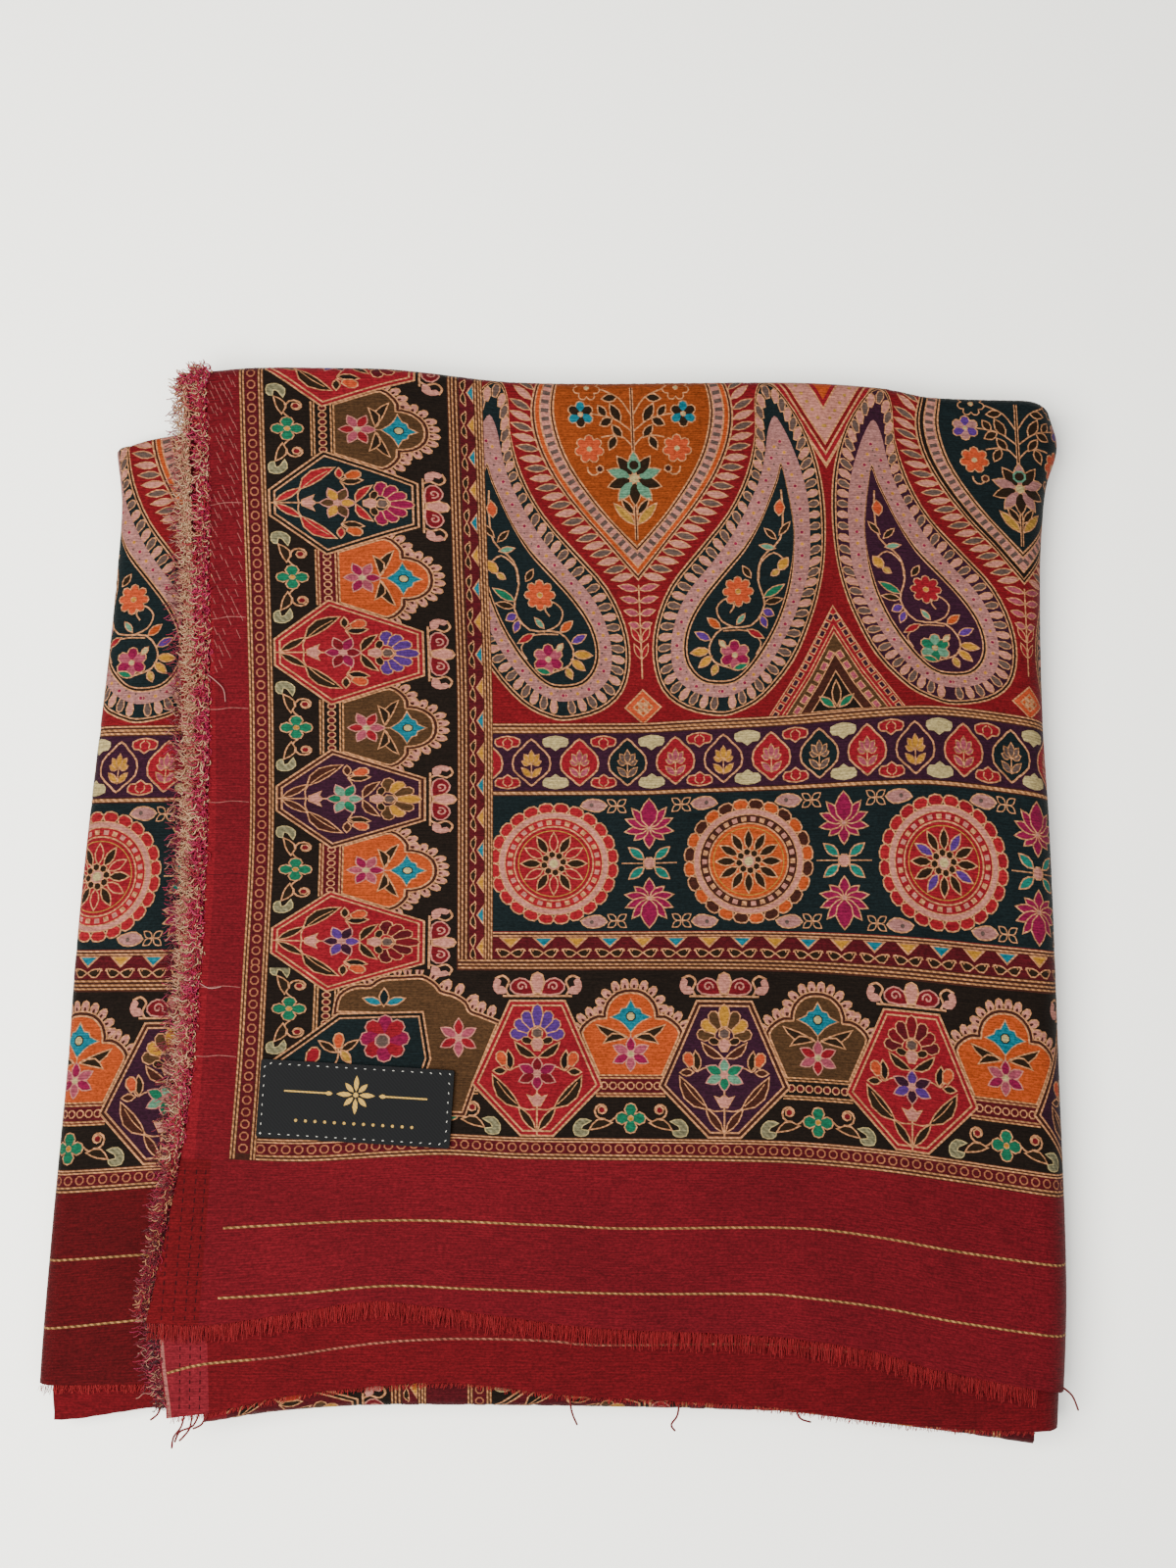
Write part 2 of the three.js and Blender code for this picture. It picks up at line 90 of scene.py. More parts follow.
# Where lines of the woven pattern lie on the folded top: y at each x for lines along the weft, and
# x at each y for lines along the warp.
WEFT_LINES = {
    14.5: [(-92, -103), (-66, -101.5), (-42, -99.5), (-21, -100.3), (18, -101.5), (55, -101.5),
        (64, -102.3), (84, -104.9), (104, -108.7), (133, -113.1)],
    31.7: [(-92, -85.2), (-42, -82.8), (-1, -84.1), (18, -84.9), (64, -84.9), (84, -87.2), (104, -90.8),
        (133, -95.1)],
    48.4: [(-92, -66.8), (-66, -67.9), (-42, -66.7), (-28, -66.2), (-8, -67.2), (45, -67.9), (64, -68.5),
        (84, -70.3), (104, -73.1), (133, -77.7)],
    97.9: [(-92, -17.5), (-25, -18.5), (35, -18.5), (60, -18.9), (86, -20.5), (112, -23.1), (132, -24.9)],
    160.5: [(-92, 43), (22, 43.1), (35, 43.8), (60, 45.1), (86, 47.4), (99, 47.9), (114, 46.4),
        (131, 43.8)],
}
FAR_V = 251.5
WARP_LINES = {
    11.3: [(-109, -86), (-68, -83.2), (-42, -81.4), (-16, -80.1), (14, -78.8), (45, -79.1), (81, -80.4),
        (107, -81.7), (140, -83.2)],
    64.9: [(-109, -25.3), (45, -25.3), (90, -26.8), (138, -28.6)],
}
COLUMN_WEFT_LINES = {
    0: [(-135, -127), (-105, -126.5)],
    14.5: [(-134, -112.6), (-107, -110)],
    31.7: [(-134, -95.1), (-107, -93.3)],
    48.4: [(-134, -77.9), (-105, -75.9)],
    97.9: [(-128, -24.6), (-100, -24.4)],
    160.5: [(-122, 43), (-100, 43.4)],
}

# Long soft waves of the top plies, and the finer creases that the solids leave out: x, y, reach
# along and across, turn in degrees, height.
TOP_WAVES = [(30, -92, 95, 16, -6, 0.9), (-60, -86, 40, 15, 12, 0.6), (60, 20, 80, 22, -3, 0.5),
    (20, 98, 100, 17, 2, 0.8), (102, -10, 90, 15, 88, 0.8), (-70, 30, 90, 15, 91, 0.5)]
FINE_CREASES = [(-20, -66, 60, 4, -2, 0.22), (70, -70, 55, 4.5, -7, 0.3), (10, -18, 90, 4, 0, 0.18),
    (95, -22, 35, 4, -6, 0.24), (60, 46, 70, 4, 3, 0.22), (20, 125, 70, 5, 0, -0.3),
    (112, 60, 45, 5, 84, 0.35), (114, -60, 40, 5, 95, 0.3), (-85, 20, 60, 4, 90, 0.25),
    (-90, -60, 35, 5, 104, 0.3), (-30, -96, 45, 4, 4, 0.35), (75, -104, 45, 4, -14, 0.4),
    (-60, 118, 40, 6, -5, 0.3), (95, 112, 30, 5, -18, 0.4), (118, 96, 22, 5, 60, 0.35)]

END_CREASES = [(10, -124, 60, 3.5, -3, 0.3), (95, -130, 30, 4, -8, 0.4), (-70, -126, 25, 3, 12, 0.3)]
COLUMN_CREASES = [(-118, -70, 40, 6, 80, 0.35), (-112, 30, 50, 5, 95, 0.3), (-120, -112, 20, 4, 10, 0.25)]
LABEL = {"place": (-51, -53), "turn": -3.5, "above_cloth": 0.75, "thickness": 0.7}


def along(table, at):
    """Reads a value out of an edge table, on the smooth curve through its rows."""
    keys, values = np.array(table, dtype=float).T
    last = len(keys) - 1
    at = np.clip(at, keys[0], keys[-1])
    row = np.clip(np.searchsorted(keys, at) - 1, 0, last - 1)
    before, after = np.clip(np.arange(last + 1) - 1, 0, last), np.clip(np.arange(last + 1) + 1, 0, last)
    slope = (values[after] - values[before]) / (keys[after] - keys[before])
    span = keys[row + 1] - keys[row]
    t = (at - keys[row]) / span
    rise = t * t * (3 - 2 * t)
    return (values[row] * (1 - rise) + values[row + 1] * rise
        + span * (slope[row] * t * (1 - t) ** 2 - slope[row + 1] * t * t * (1 - t)))


def waves(table, x, y):
    """Height of the soft waves in a table at each point."""
    lift = np.zeros(np.broadcast(x, y).shape)
    for cx, cy, reach_a, reach_b, turn, height in table:
        c, s = math.cos(math.radians(turn)), math.sin(math.radians(turn))
        a = ((x - cx) * c + (y - cy) * s) / reach_a
        b = ((y - cy) * c - (x - cx) * s) / reach_b
        lift = lift + height * np.exp(-a * a - b * b)
    return lift


def cockle(x, y, height):
    """The slight unevenness of handwoven cloth, from a few crossing sine waves."""
    return height * (np.sin(x / 7.3 + 1.7 * np.sin(y / 19)) * np.sin(y / 8.9 + 1.3 * np.sin(x / 23))
        + 0.5 * np.sin(x / 3.9 - y / 11.7) * np.sin(y / 4.3 + x / 17))


def top_lift(x, y):
    return waves(TOP_WAVES, x, y) + waves(FINE_CREASES, x, y) + cockle(x, y, 0.07)


def line_value(lines, at_line, across):
    """Reads a value between lines of the pattern, and past the outer lines at true scale."""
    keys = sorted(lines)
    values = np.array([along(lines[key], across) for key in keys])
    result = values[0] + (at_line - keys[0])
    for low, high, a, b in zip(keys, keys[1:], values, values[1:]):
        share = (at_line - low) / (high - low)
        result = np.where(at_line > low, a + (b - a) * share, result)
    return np.where(at_line > keys[-1], values[-1] + (at_line - keys[-1]), result)


def right_fold(y):
    away = (y - CORNER_BULGE["y"]) / CORNER_BULGE["reach"]
    return along(RIGHT_FOLD, y) + CORNER_BULGE["height"] * np.exp(-away * away)


def fold_over(x, y, tangent, radius, top, lip_start, lip, side, lift):
    """Lays flat cloth over a half-round fold past tangent and over a lip past lip_start."""
    lip_angle = np.clip((y - lip_start) / lip, 0, 1.75)
    inset = lip * (1 - np.cos(lip_angle))
    py = np.where(y > lip_start, lip_start + lip * np.sin(lip_angle), y)
    angle = np.clip(side * (x - tangent) / radius, 0, math.pi)
    r = radius - inset
    turned = angle > 0
    px = np.where(turned, tangent + side * r * np.sin(angle), x)
    z = top - radius + r * np.cos(angle) + lift * np.maximum(np.cos(angle), 0)
    return np.stack([px, py, z], axis=-1)


def on_table(u, v):
    """Where a point of the top ply would lie if its folds were opened out to the right and far side."""
    x, y = u - TOP_SHIFT[0], v - TOP_SHIFT[1]
    far_lines = dict(WEFT_LINES)
    far_lines[FAR_V] = [(key, value - FAR_LIP) for key, value in FAR_FOLD]
    for _ in range(ROUNDS):
        x = line_value(WARP_LINES, u, y)
        y = line_value(far_lines, v, np.clip(x, *FAR_SPAN))
    return x, y


def drape_top(points):
    x, y = on_table(points[:, 0], points[:, 1])
    at_y = np.clip(y, *SIDE_SPAN)
    tangent = right_fold(at_y) - RIGHT_RADIUS
    lip_start = along(FAR_FOLD, np.clip(x, *FAR_SPAN)) - FAR_LIP
    lift = top_lift(np.minimum(x, tangent), at_y)
    return fold_over(x, y, tangent, RIGHT_RADIUS, STACK_TOP, lip_start, FAR_LIP, 1, lift)


# The left column leans: x of its middle warp line at each y, and that line's own coordinate.
COLUMN_LEAN = [(-134, -132.5), (-90, -129.3), (-45, -125.8), (5, -121.5), (45, -117.6), (80, -113.8),
    (125, -109.3)]
COLUMN_LEAN_U = 14.2
# The column's left end, and where it goes under the upper plies.
COLUMN_LEFT, COLUMN_TUCK = -134, -80


def column_on_table(u, v):
    x, y = u - COLUMN_SHIFT[0], v - COLUMN_SHIFT[1]
    for _ in range(ROUNDS):
        x = along(COLUMN_LEAN, y) + u - COLUMN_LEAN_U
        y = line_value(COLUMN_WEFT_LINES, v, np.clip(x, COLUMN_LEFT, COLUMN_TUCK))
    return x, y


def drape_column(points):
    x, y = column_on_table(points[:, 0], points[:, 1])
    tangent = along(LEFT_FOLD, y) + LEFT_RADIUS
    lip_start = along(LOWER_FAR, np.maximum(x, tangent)) - COLUMN_LIP
    lift = cockle(x, y, 0.1) + waves(COLUMN_CREASES, x, y)
    return fold_over(x, y, tangent, LEFT_RADIUS, COLUMN_TOP, lip_start, COLUMN_LIP, -1, lift)


def drape_reverse(points):
    x, y = points.T
    tangent = along(RIGHT_FOLD, y) - RIGHT_RADIUS
    lift = waves(TOP_WAVES, np.minimum(x, tangent), y) + waves(END_CREASES, x, y) + cockle(x, y, 0.06)
    return fold_over(x, y, tangent, RIGHT_RADIUS - WALL - GAP, REVERSE_TOP, 1000, 1, 1, lift)


def drape_column_reverse(points):
    x, y = points.T
    return np.stack([x, y, COLUMN_REVERSE_TOP + cockle(x, y, 0.08)], axis=-1)


def drape_underside(points):
    """The underside faces down, so its flat coordinate runs from right to left."""
    x, y = -points[:, 0], points[:, 1]
    return np.stack([x, y, np.zeros_like(x)], axis=-1)


def drape_end_fold(points):
    """Flat behind the fold's upper tangent, and round under it in front, where s is negative."""
    x, s = points.T
    centre = along(END_FOLD, x) + END_RADIUS
    angle = np.clip(-s / END_RADIUS, 0, math.pi)
    y = centre + np.maximum(s, 0) - END_RADIUS * np.sin(angle)
    lift = waves(TOP_WAVES, x, np.where(s > 0, y, centre)) * np.maximum(np.cos(angle), 0)
    z = CORE_TOP - END_RADIUS + END_RADIUS * np.cos(angle) + lift + cockle(x, s * 2, 0.05)
    return np.stack([x, y, z], axis=-1)


def drape_label(points):
    x0, y0 = LABEL["place"]
    c, s = math.cos(math.radians(LABEL["turn"])), math.sin(math.radians(LABEL["turn"]))
    x = x0 + points[:, 0] * c - points[:, 1] * s
    y = y0 + points[:, 0] * s + points[:, 1] * c
    bend = 0.12 * np.abs(points[:, 0] / 25) ** 6
    bend += 0.05 * np.sin(points[:, 0] / 4.1) * np.sin(points[:, 1] / 3)
    under = STACK_TOP + waves(TOP_WAVES, x, y) + GAP
    return np.stack([x, y, under + LABEL["above_cloth"] + bend], axis=-1)


# Dyes, as sRGB. The last number is how much of the twisted two-colour look a thread has.
DYES = {
    "crimson": ("751520", 0), "field_red": ("80151e", 0), "maroon": ("58131c", 0),
    "bright_red": ("a41f2a", 0), "black": ("1f1611", 0), "teal_ground": ("152124", 0),
    "purple": ("38172b", 0), "orange": ("c25022", 0), "rust": ("9a4519", 0), "brown": ("553a24", 0),
    "cream": ("e6a070", 0.5), "rope": ("de9b68", 0.75), "pink": ("cc8678", 0), "rose": ("aa4e60", 0),
    "teal": ("15788c", 0), "green": ("1c6e50", 0), "violet": ("583283", 0), "magenta": ("8c1644", 0),
    "yellow": ("c98c30", 0), "pale": ("c8b27c", 0), "lilac": ("b07874", 0), "leaf_dark": ("2c1e12", 0),
    "bark": ("45221a", 0), "mint": ("66987c", 0), "ruby": ("961a28", 0), "coral": ("cc502c", 0),
    "gold": ("c4923f", 0.3), "smoke": ("64504a", 0), "stripe": ("cc965e", 1),
    "faint_stripe": ("bc705c", 1), "wrong_red": ("72121b", 0), "satin_red": ("861824", 0),
    # The left column's red is the crimson cloth drawn darker: painted shade on the lower ply, not a dye of
    # its own.
    "silk_red": ("8e2430", 0), "shaded_column_red": ("5e0f15", 0), "worn_red": ("6f1118", 0),
    "sea": ("1c7a6c", 0), "ash": ("8f8868", 0.45), "dash": ("3c0d14", 0), "pulled": ("b5706a", 0),
    "satin_black": ("1b1c1f", 0), "ring": ("b4704e", 0), "label_gold": ("e0b45c", 0),
}


def spot(x, y):
    return np.array([x, y], dtype=float)


def rows(*pairs):
    return np.array(pairs, dtype=float)


def smooth(points, steps=3, closed=False):
    """Points along a soft curve through the given ones."""
    points = np.asarray(points, dtype=float)
    count = len(points)
    spans = count if closed else count - 1
    t = np.linspace(0, 1, steps, endpoint=False)[:, None]
    out = []
    for i in range(spans):
        if closed:
            a, b, c, d = (points[(i + k) % count] for k in (-1, 0, 1, 2))
        else:
            a, b, c, d = (points[min(max(i + k, 0), count - 1)] for k in (-1, 0, 1, 2))
        out.append(0.5 * (2 * b + (c - a) * t + (2 * a - 5 * b + 4 * c - d) * t**2
            + (3 * b - a - 3 * c + d) * t**3))
    if not closed:
        out.append(points[-1:])
    return np.concatenate(out)


def signed_area(points):
    """Area of a closed shape, below zero where it runs clockwise."""
    x, y = points.T
    return np.sum(x * np.roll(y, -1) - y * np.roll(x, -1)) / 2


def grown(points, width):
    """The closed shape moved outwards by width, or inwards if that is negative."""
    ahead, behind = np.roll(points, -1, axis=0) - points, points - np.roll(points, 1, axis=0)
    area = signed_area(points)
    unit = lambda d: d / np.maximum(np.linalg.norm(d, axis=1, keepdims=True), 1e-9)
    normals = [np.stack([d[:, 1], -d[:, 0]], axis=1) * np.sign(area) for d in (unit(ahead), unit(behind))]
    middle = unit(normals[0] + normals[1])
    reach = np.clip(np.sum(middle * normals[0], axis=1, keepdims=True), 0.45, 1)
    return points + middle * width / reach


def ribbon(points, width, dye):
    """A line of the given width, as a strip of small quads."""
    points = np.asarray(points, dtype=float)
    step = np.gradient(points, axis=0)
    step /= np.maximum(np.linalg.norm(step, axis=1, keepdims=True), 1e-9)
    side = np.stack([-step[:, 1], step[:, 0]], axis=1) * width / 2
    left, right = points + side, points - side
    return [(np.array([right[i], right[i + 1], left[i + 1], left[i]]), dye) for i in range(len(points) - 1)]


def stem(points, width=0.4, dye="cream"):
    return ribbon(smooth(points), width, dye)


def leaf_shape(base, tip, width, lean=0.0):
    base, tip = np.asarray(base, float), np.asarray(tip, float)
    axis = tip - base
    across = spot(-axis[1], axis[0]) / max(np.linalg.norm(axis), 1e-9)
    shares, widths = (0.25, 0.55, 0.82), (0.8, 1.0, 0.55)
    middle = [base + axis * s + across * lean * 4 * s * (1 - s) for s in shares]
    upper = [m + across * w * width / 2 for m, w in zip(middle, widths)]
    lower = [m - across * w * width / 2 for m, w in zip(middle, widths)]
    return np.array([base, *lower, tip, *upper[::-1]])


def lobe_shape(base, tip, width):
    base, tip = np.asarray(base, float), np.asarray(tip, float)
    axis = tip - base
    across = spot(-axis[1], axis[0]) / max(np.linalg.norm(axis), 1e-9) * width / 2
    return np.array([base - across * 0.45, base + axis * 0.55 - across, base + axis * 0.9 - across * 0.65,
        tip, base + axis * 0.9 + across * 0.65, base + axis * 0.55 + across, base + across * 0.45])


def disc_shape(x, y, r, sides=8, flat=1.0):
    angle = np.arange(sides) * math.tau / sides + 0.4
    return np.stack([x + r * np.cos(angle), y + r * flat * np.sin(angle)], axis=1)


def outlined(shape, dye, rim="cream", width=0.35):
    return layered(shape, (width, rim), (0, dye))


def layered(shape, *rims):
    """The shape grown by each width in turn, one over another."""
    return [(grown(shape, width), dye) for width, dye in rims]


def leaf(base, tip, width, dye, rim="cream", lean=0.0, line=0.35):
    return outlined(leaf_shape(base, tip, width, lean), dye, rim, line)


def lobe(base, tip, width, dye, line=0.35):
    return outlined(lobe_shape(base, tip, width), dye, "cream", line)


def dot(x, y, r, dye, sides=6):
    return [(disc_shape(x, y, r, sides), dye)]


def ringed(x, y, r, dye, rim="cream", width=0.35, sides=8):
    return outlined(disc_shape(x, y, r, sides), dye, rim, width)


def polar(x, y, reach, degrees, flat=1.0):
    angle = math.radians(degrees)
    return spot(x + reach * math.cos(angle), y + reach * flat * math.sin(angle))


def bloom(x, y, reach, dyes, count=8, rim="cream", core="pale", width=None, turn=90.0, flat=1.0,
        line=0.32, blunt=False):
    """A flower of petals round a centre. dyes are used in turn."""
    width = width or reach * 0.62
    shape = lobe_shape if blunt else leaf_shape
    petals = [shape(polar(x, y, reach * 0.14, turn + i * 360 / count, flat),
        polar(x, y, reach, turn + i * 360 / count, flat), width) for i in range(count)]
    shapes = [(grown(petal, line), rim) for petal in petals]
    shapes += [(petal, dyes[i % len(dyes)]) for i, petal in enumerate(petals)]
    return shapes + ringed(x, y, reach * 0.17, core, rim, 0.2, 6)


def curl(x, y, radius, start, sweep, width=0.45, dye="cream"):
    """A spiral line that winds inwards from start, in degrees, to a fifth of its radius."""
    count = max(6, int(abs(sweep) / 32))
    share = np.linspace(0, 1, count)
    angle = np.radians(start + sweep * share)
    r = radius * (1 - 0.8 * share)
    return ribbon(np.stack([x + r * np.cos(angle), y + r * np.sin(angle)], axis=1), width, dye)


def moved(shapes, x=0.0, y=0.0, turn=0.0, sx=1.0, sy=1.0):
    c, s = math.cos(math.radians(turn)), math.sin(math.radians(turn))
    matrix = np.array([[c * sx, -s * sy], [s * sx, c * sy]])
    return [(points @ matrix.T + (x, y), dye) for points, dye in shapes]


def mirrored(shapes):
    """The shapes and their mirror image across the vertical axis, drawn side by side."""
    return [pair for shape in shapes for pair in (shape, (shape[0] * (-1, 1), shape[1]))]


def box(u0, v0, u1, v1, dye):
    return [(rows((u0, v0), (u1, v0), (u1, v1), (u0, v1)), dye)]


def upright_lines(places, half, v0, v1):
    """Rope lines along the warp, each a little under half a millimetre wide."""
    return [shape for u in places for shape in box(u - half, v0, u + half, v1, "rope")]


def ring_row(places):
    return [shape for u, v in places for shape in ringed(u, v, 0.85, "maroon", "ring", 0.34, 8)]


def block(place, first, second, a, b):
    """A quad about a place that reaches a along one heading and b along the other."""
    return np.array([place + first * i + second * k for i, k in ((-a, -b), (a, -b), (a, b), (-a, b))])


def with_mirror(half):
    """An outline that ends on the vertical axis, carried on as its mirror image."""
    return np.vstack([half, half[-2::-1] * (-1, 1)])


def walk(path, step, start=0.0):
    """Places at even steps along a path, each with the path's heading there."""
    lengths = np.concatenate([[0], np.cumsum(np.linalg.norm(np.diff(path, axis=0), axis=1))])
    for at in np.arange(start, lengths[-1], step):
        i = min(np.searchsorted(lengths, at, side="right") - 1, len(path) - 2)
        share = (at - lengths[i]) / max(lengths[i + 1] - lengths[i], 1e-9)
        heading = path[i + 1] - path[i]
        yield path[i] + heading * share, heading / max(np.linalg.norm(heading), 1e-9)


# The hexagon and ogee cell of the dark borders. Its origin is on the border's outer line, below
# the hexagon's point, and +y runs towards the middle of the shawl.
HEXAGON = rows((-4.3, 0), (-17.1, 13.3), (-7.3, 35.7), (7.3, 35.7), (17.1, 13.3), (4.3, 0))
HEX_PITCH = 48.5
OGEE_HALF = rows((7.8, 16.1), (9.7, 20.5), (11.4, 24.5), (12.3, 27.2), (10.8, 29.2), (8.6, 30.5),
    (6.2, 30.6), (6.0, 32.2), (5.2, 34.6), (3.0, 36.7), (0, 37.3))


def hexagon_cell(ground, band, buds, flower, leaf_dye, bud="coral"):
    shapes = layered(HEXAGON[::-1], (0, "cream"), (-0.5, band), (-1.25, "cream"), (-1.7, ground))
    shapes += stem([(0, 0.4), (0, 9), (0, 19)], 0.45)
    half = leaf((0.5, 1.8), (4.6, 7.4), 1.7, leaf_dye)
    half += leaf((4.6, 7.6), (11.4, 15.6), 3.2, leaf_dye, lean=-0.9)
    half += stem([(5.2, 8.4), (8.0, 11.0), (10.4, 14.2)], 0.25)
    half += stem([(0, 7.2), (2.6, 7.0), (4.8, 7.8)], 0.35)
    half += stem([(1.0, 17.5), (4.6, 18.3), (7.2, 17.2), (8.3, 18.4)], 0.35)
    half += leaf((8.2, 17.0), (11.2, 16.9), 1.5, leaf_dye)
    half += leaf((6.9, 17.6), (7.5, 22.2), 1.9, "leaf_dark" if leaf_dye != "leaf_dark" else "black")
    half += lobe((8.6, 18.6), (9.8, 21.9), 2.5, bud)
    half += leaf((0.6, 20.8), (5.6, 24.4), 1.8, leaf_dye, lean=-0.6)
    for i, (degrees, reach) in enumerate(((6, 7.0), (34, 6.9), (62, 7.2))):
        base, tip = polar(0, 26.2, 2.6, degrees), polar(0, 26.2, reach, degrees)
        half += lobe(base, tip, 3.0, buds[(i + 1) % 2], line=0.3)
    half += lobe((1.2, 24.6), (3.9, 25.4), 1.7, "leaf_dark", line=0.25)
    shapes += mirrored(half)
    shapes += lobe((0, 29.0), (0, 34.4), 2.7, buds[0], line=0.35)
    shapes += ringed(0, 27.0, 1.3, "smoke", sides=6)
    shapes += lobe((0, 22.6), (0, 25.6), 3.0, "pink", line=0.3)
    shapes += bloom(0, 16.4, 5.2, flower, 6, rim="pink", core="pink", width=2.3, flat=0.78)
    cup = rows((-0.8, 8.0), (0.8, 8.0), (2.4, 10.7), (1.1, 10.2), (0, 11.1), (-1.1, 10.2), (-2.4, 10.7))
    return shapes + outlined(cup, "pink", width=0.25)


def crown():
    half = stem([(9.0, 36.7), (0, 36.7)], 0.5)
    half += stem([(7.4, 36.8), (8.2, 38.4), (7.4, 40.6), (9.0, 42.0), (11.0, 41.2)], 0.55)
    hook = rows((7.8, 37.6), (10.4, 37.2), (11.6, 39.2), (10.8, 41.4), (9.4, 40.6), (9.8, 39.4), (8.8, 39.2))
    half += [(smooth(hook, 2, True), "pink")]
    petal = rows((1.2, 37.4), (5.8, 37.6), (6.8, 39.6), (4.6, 41.2), (2.2, 40.2))
    half += outlined(smooth(petal, 2, True), "crimson", "pink", 0.4)
    half += curl(4.2, 39.2, 1.4, 200, -400, 0.45, "pink")
    return mirrored(half) + lobe((0, 37.6), (0, 42.6), 3.2, "pink", line=0.45)


def ogee(ground, flower, star, ring_ground):
    """The three-lobed arch between two hexagons, on its strip of rings."""
    arch = smooth(with_mirror(OGEE_HALF), 2)
    frill = [(place, spot(heading[1], -heading[0]))
        for place, heading in walk(grown(arch, 1.3)[4:-4], 2.25, 0.6)]
    shapes = []
    for place, out in frill:
        shapes += lobe(place - out * 0.6, place + out * 2.5, 1.7, "pink", line=0.32)
    for place, out in frill:
        shapes.append((lobe_shape(place - out * 0.3, place + out * 1.2, 0.7), "bark"))
    shapes += layered(arch, (1.5, "cream"), (1.15, "bark"), (0.45, "cream"), (0, ground))
    points = rows((0, 35.6), (1.1, 33.6), (2.4, 33.3), (2.9, 32.2), (5.0, 31.2), (2.9, 30.3), (1.6, 29.3),
        (0, 27.4))
    tuft = np.vstack([points, points[-2:0:-1] * (-1, 1)])
    shapes += outlined(tuft, star, "cream", 0.3)
    shapes += ringed(0, 31.4, 1.05, "pale", "teal_ground", 0.3, 8)
    half = leaf((1.6, 26.2), (8.6, 29.0), 1.8, "leaf_dark", lean=-0.7)
    half += leaf((1.4, 25.9), (6.8, 24.6), 1.6, "leaf_dark", lean=0.8)
    half += stem([(0.4, 25.4), (1.6, 26.6), (4.2, 26.9)], 0.3)
    shapes += mirrored(half) + stem([(0, 19), (0, 27.4)], 0.35)
    shapes += bloom(0, 21.6, 5.0, flower, 6, rim="pink", core="pale", width=2.1, flat=0.84)
    return shapes + ring_strip(ring_ground)


def ring_strip(ground):
    """The strip of rings that an arch stands on."""
    shapes = box(-9, 10.7, 9, 16.2, ground)
    for level in (16.1, 15.4, 11.4, 10.7):
        shapes += box(-9, level - 0.2, 9, level + 0.2, "rope")
    for i in range(-3, 4):
        shapes += ringed(i * 2.3, 13.4, 0.75, "maroon", "cream", 0.32, 8)
    return shapes


def foot_flower():
    """The green flower and scrolls that lie between the points of two hexagons."""
    shapes = bloom(0, 5.0, 3.7, ["green"], 4, core="yellow", width=2.9, blunt=True)
    half = curl(7.4, 7.0, 2.4, 250, 420, 0.5)
    half += ringed(7.5, 7.1, 0.8, "crimson", sides=6)
    half += stem([(3.6, 5.6), (5.4, 4.2), (7.8, 4.4)], 0.4)
    half += leaf((5.2, 3.8), (10.4, 2.2), 1.9, "leaf_dark", lean=0.6)
    blob = smooth(rows((10.6, 4.2), (13.0, 4.6), (14.6, 2.8), (14.2, 0.7), (11.8, 0.5), (11.0, 1.6),
        (12.8, 1.9), (12.4, 3.2)), 2, True)
    half += outlined(blob, "ash", "pale", 0.28)
    return shapes + mirrored(half)


def border_cells(centres, variants):
    """Cells of the dark border at the given places, hexagons over ogees."""
    shapes = []
    for place, variant in zip(centres, variants):
        shapes += moved(foot_flower() + ogee(*variant["ogee"]), place + HEX_PITCH / 2)
    for place, variant in zip(centres, variants):
        shapes += moved(hexagon_cell(*variant["hexagon"]) + crown(), place)
    return shapes


RED_HEXAGON = ("ruby", "ruby", ("violet", "violet"), ("crimson", "magenta"), "leaf_dark")
DARK_FLOWERED = ("ruby", "ruby", ("crimson", "maroon"), ("violet", "purple"), "leaf_dark")
PURPLE_HEXAGON = ("purple", "bark", ("yellow", "brown"), ("mint", "green"), "bark")
TEAL_HEXAGON = ("teal_ground", "black", ("magenta", "magenta"), ("yellow", "brown"), "bright_red", "orange")
MAROON_HEXAGON = ("maroon", "black", ("yellow", "brown"), ("mint", "pink"), "black")
ORANGE_OGEE = ("orange", ("magenta", "rose"), "teal", "maroon")
BROWN_OGEE = ("brown", ("rose", "ruby"), "teal", "black")
RED_CELL = {"hexagon": RED_HEXAGON, "ogee": ORANGE_OGEE}
PURPLE_CELL = {"hexagon": PURPLE_HEXAGON, "ogee": BROWN_OGEE}
DARK_FLOWERED_CELL = {"hexagon": DARK_FLOWERED, "ogee": ORANGE_OGEE}


def medallion(scallops, disc, blocks, rays):
    """The round flower of the wide band, about its own centre."""
    flat = 0.95
    shapes = []
    for i in range(24):
        degrees = i * 15 + 7.5
        shapes += lobe(polar(0, 0, 13.9, degrees, flat), polar(0, 0, 16.7, degrees, flat), 3.9,
            scallops[i % 2], line=0.35)
    circle = lambda r: disc_shape(0, 0, r, 48, flat)
    shapes += [(circle(14.4), "cream"), (circle(14.1), "pink"), (circle(12.9), "cream"),
        (circle(12.6), blocks)]
    for i in range(30):
        a, b = i * 12 - 3.3, i * 12 + 3.3
        corners = (polar(0, 0, 10.9, a, flat), polar(0, 0, 12.1, a, flat), polar(0, 0, 12.1, b, flat),
            polar(0, 0, 10.9, b, flat))
        shapes.append((np.array(corners), "pink" if i % 2 else "cream"))
    shapes += [(circle(10.5), "cream"), (circle(10.1), disc), (circle(9.3), "gold"), (circle(9.05), disc)]
    for i in range(12):
        degrees = i * 30
        dye = rays[i % len(rays)]
        shapes += leaf(polar(0, 0, 3.4, degrees, flat), polar(0, 0, 8.3, degrees, flat), 1.9, dye, line=0.33)
    for i in range(8):
        shapes += ringed(*polar(0, 0, 2.5, i * 45 + 10, flat), 0.85, "leaf_dark", "cream", 0.3, 6)
    return shapes + ringed(0, 0, 1.2, "pale", "pink", 0.4, 8)


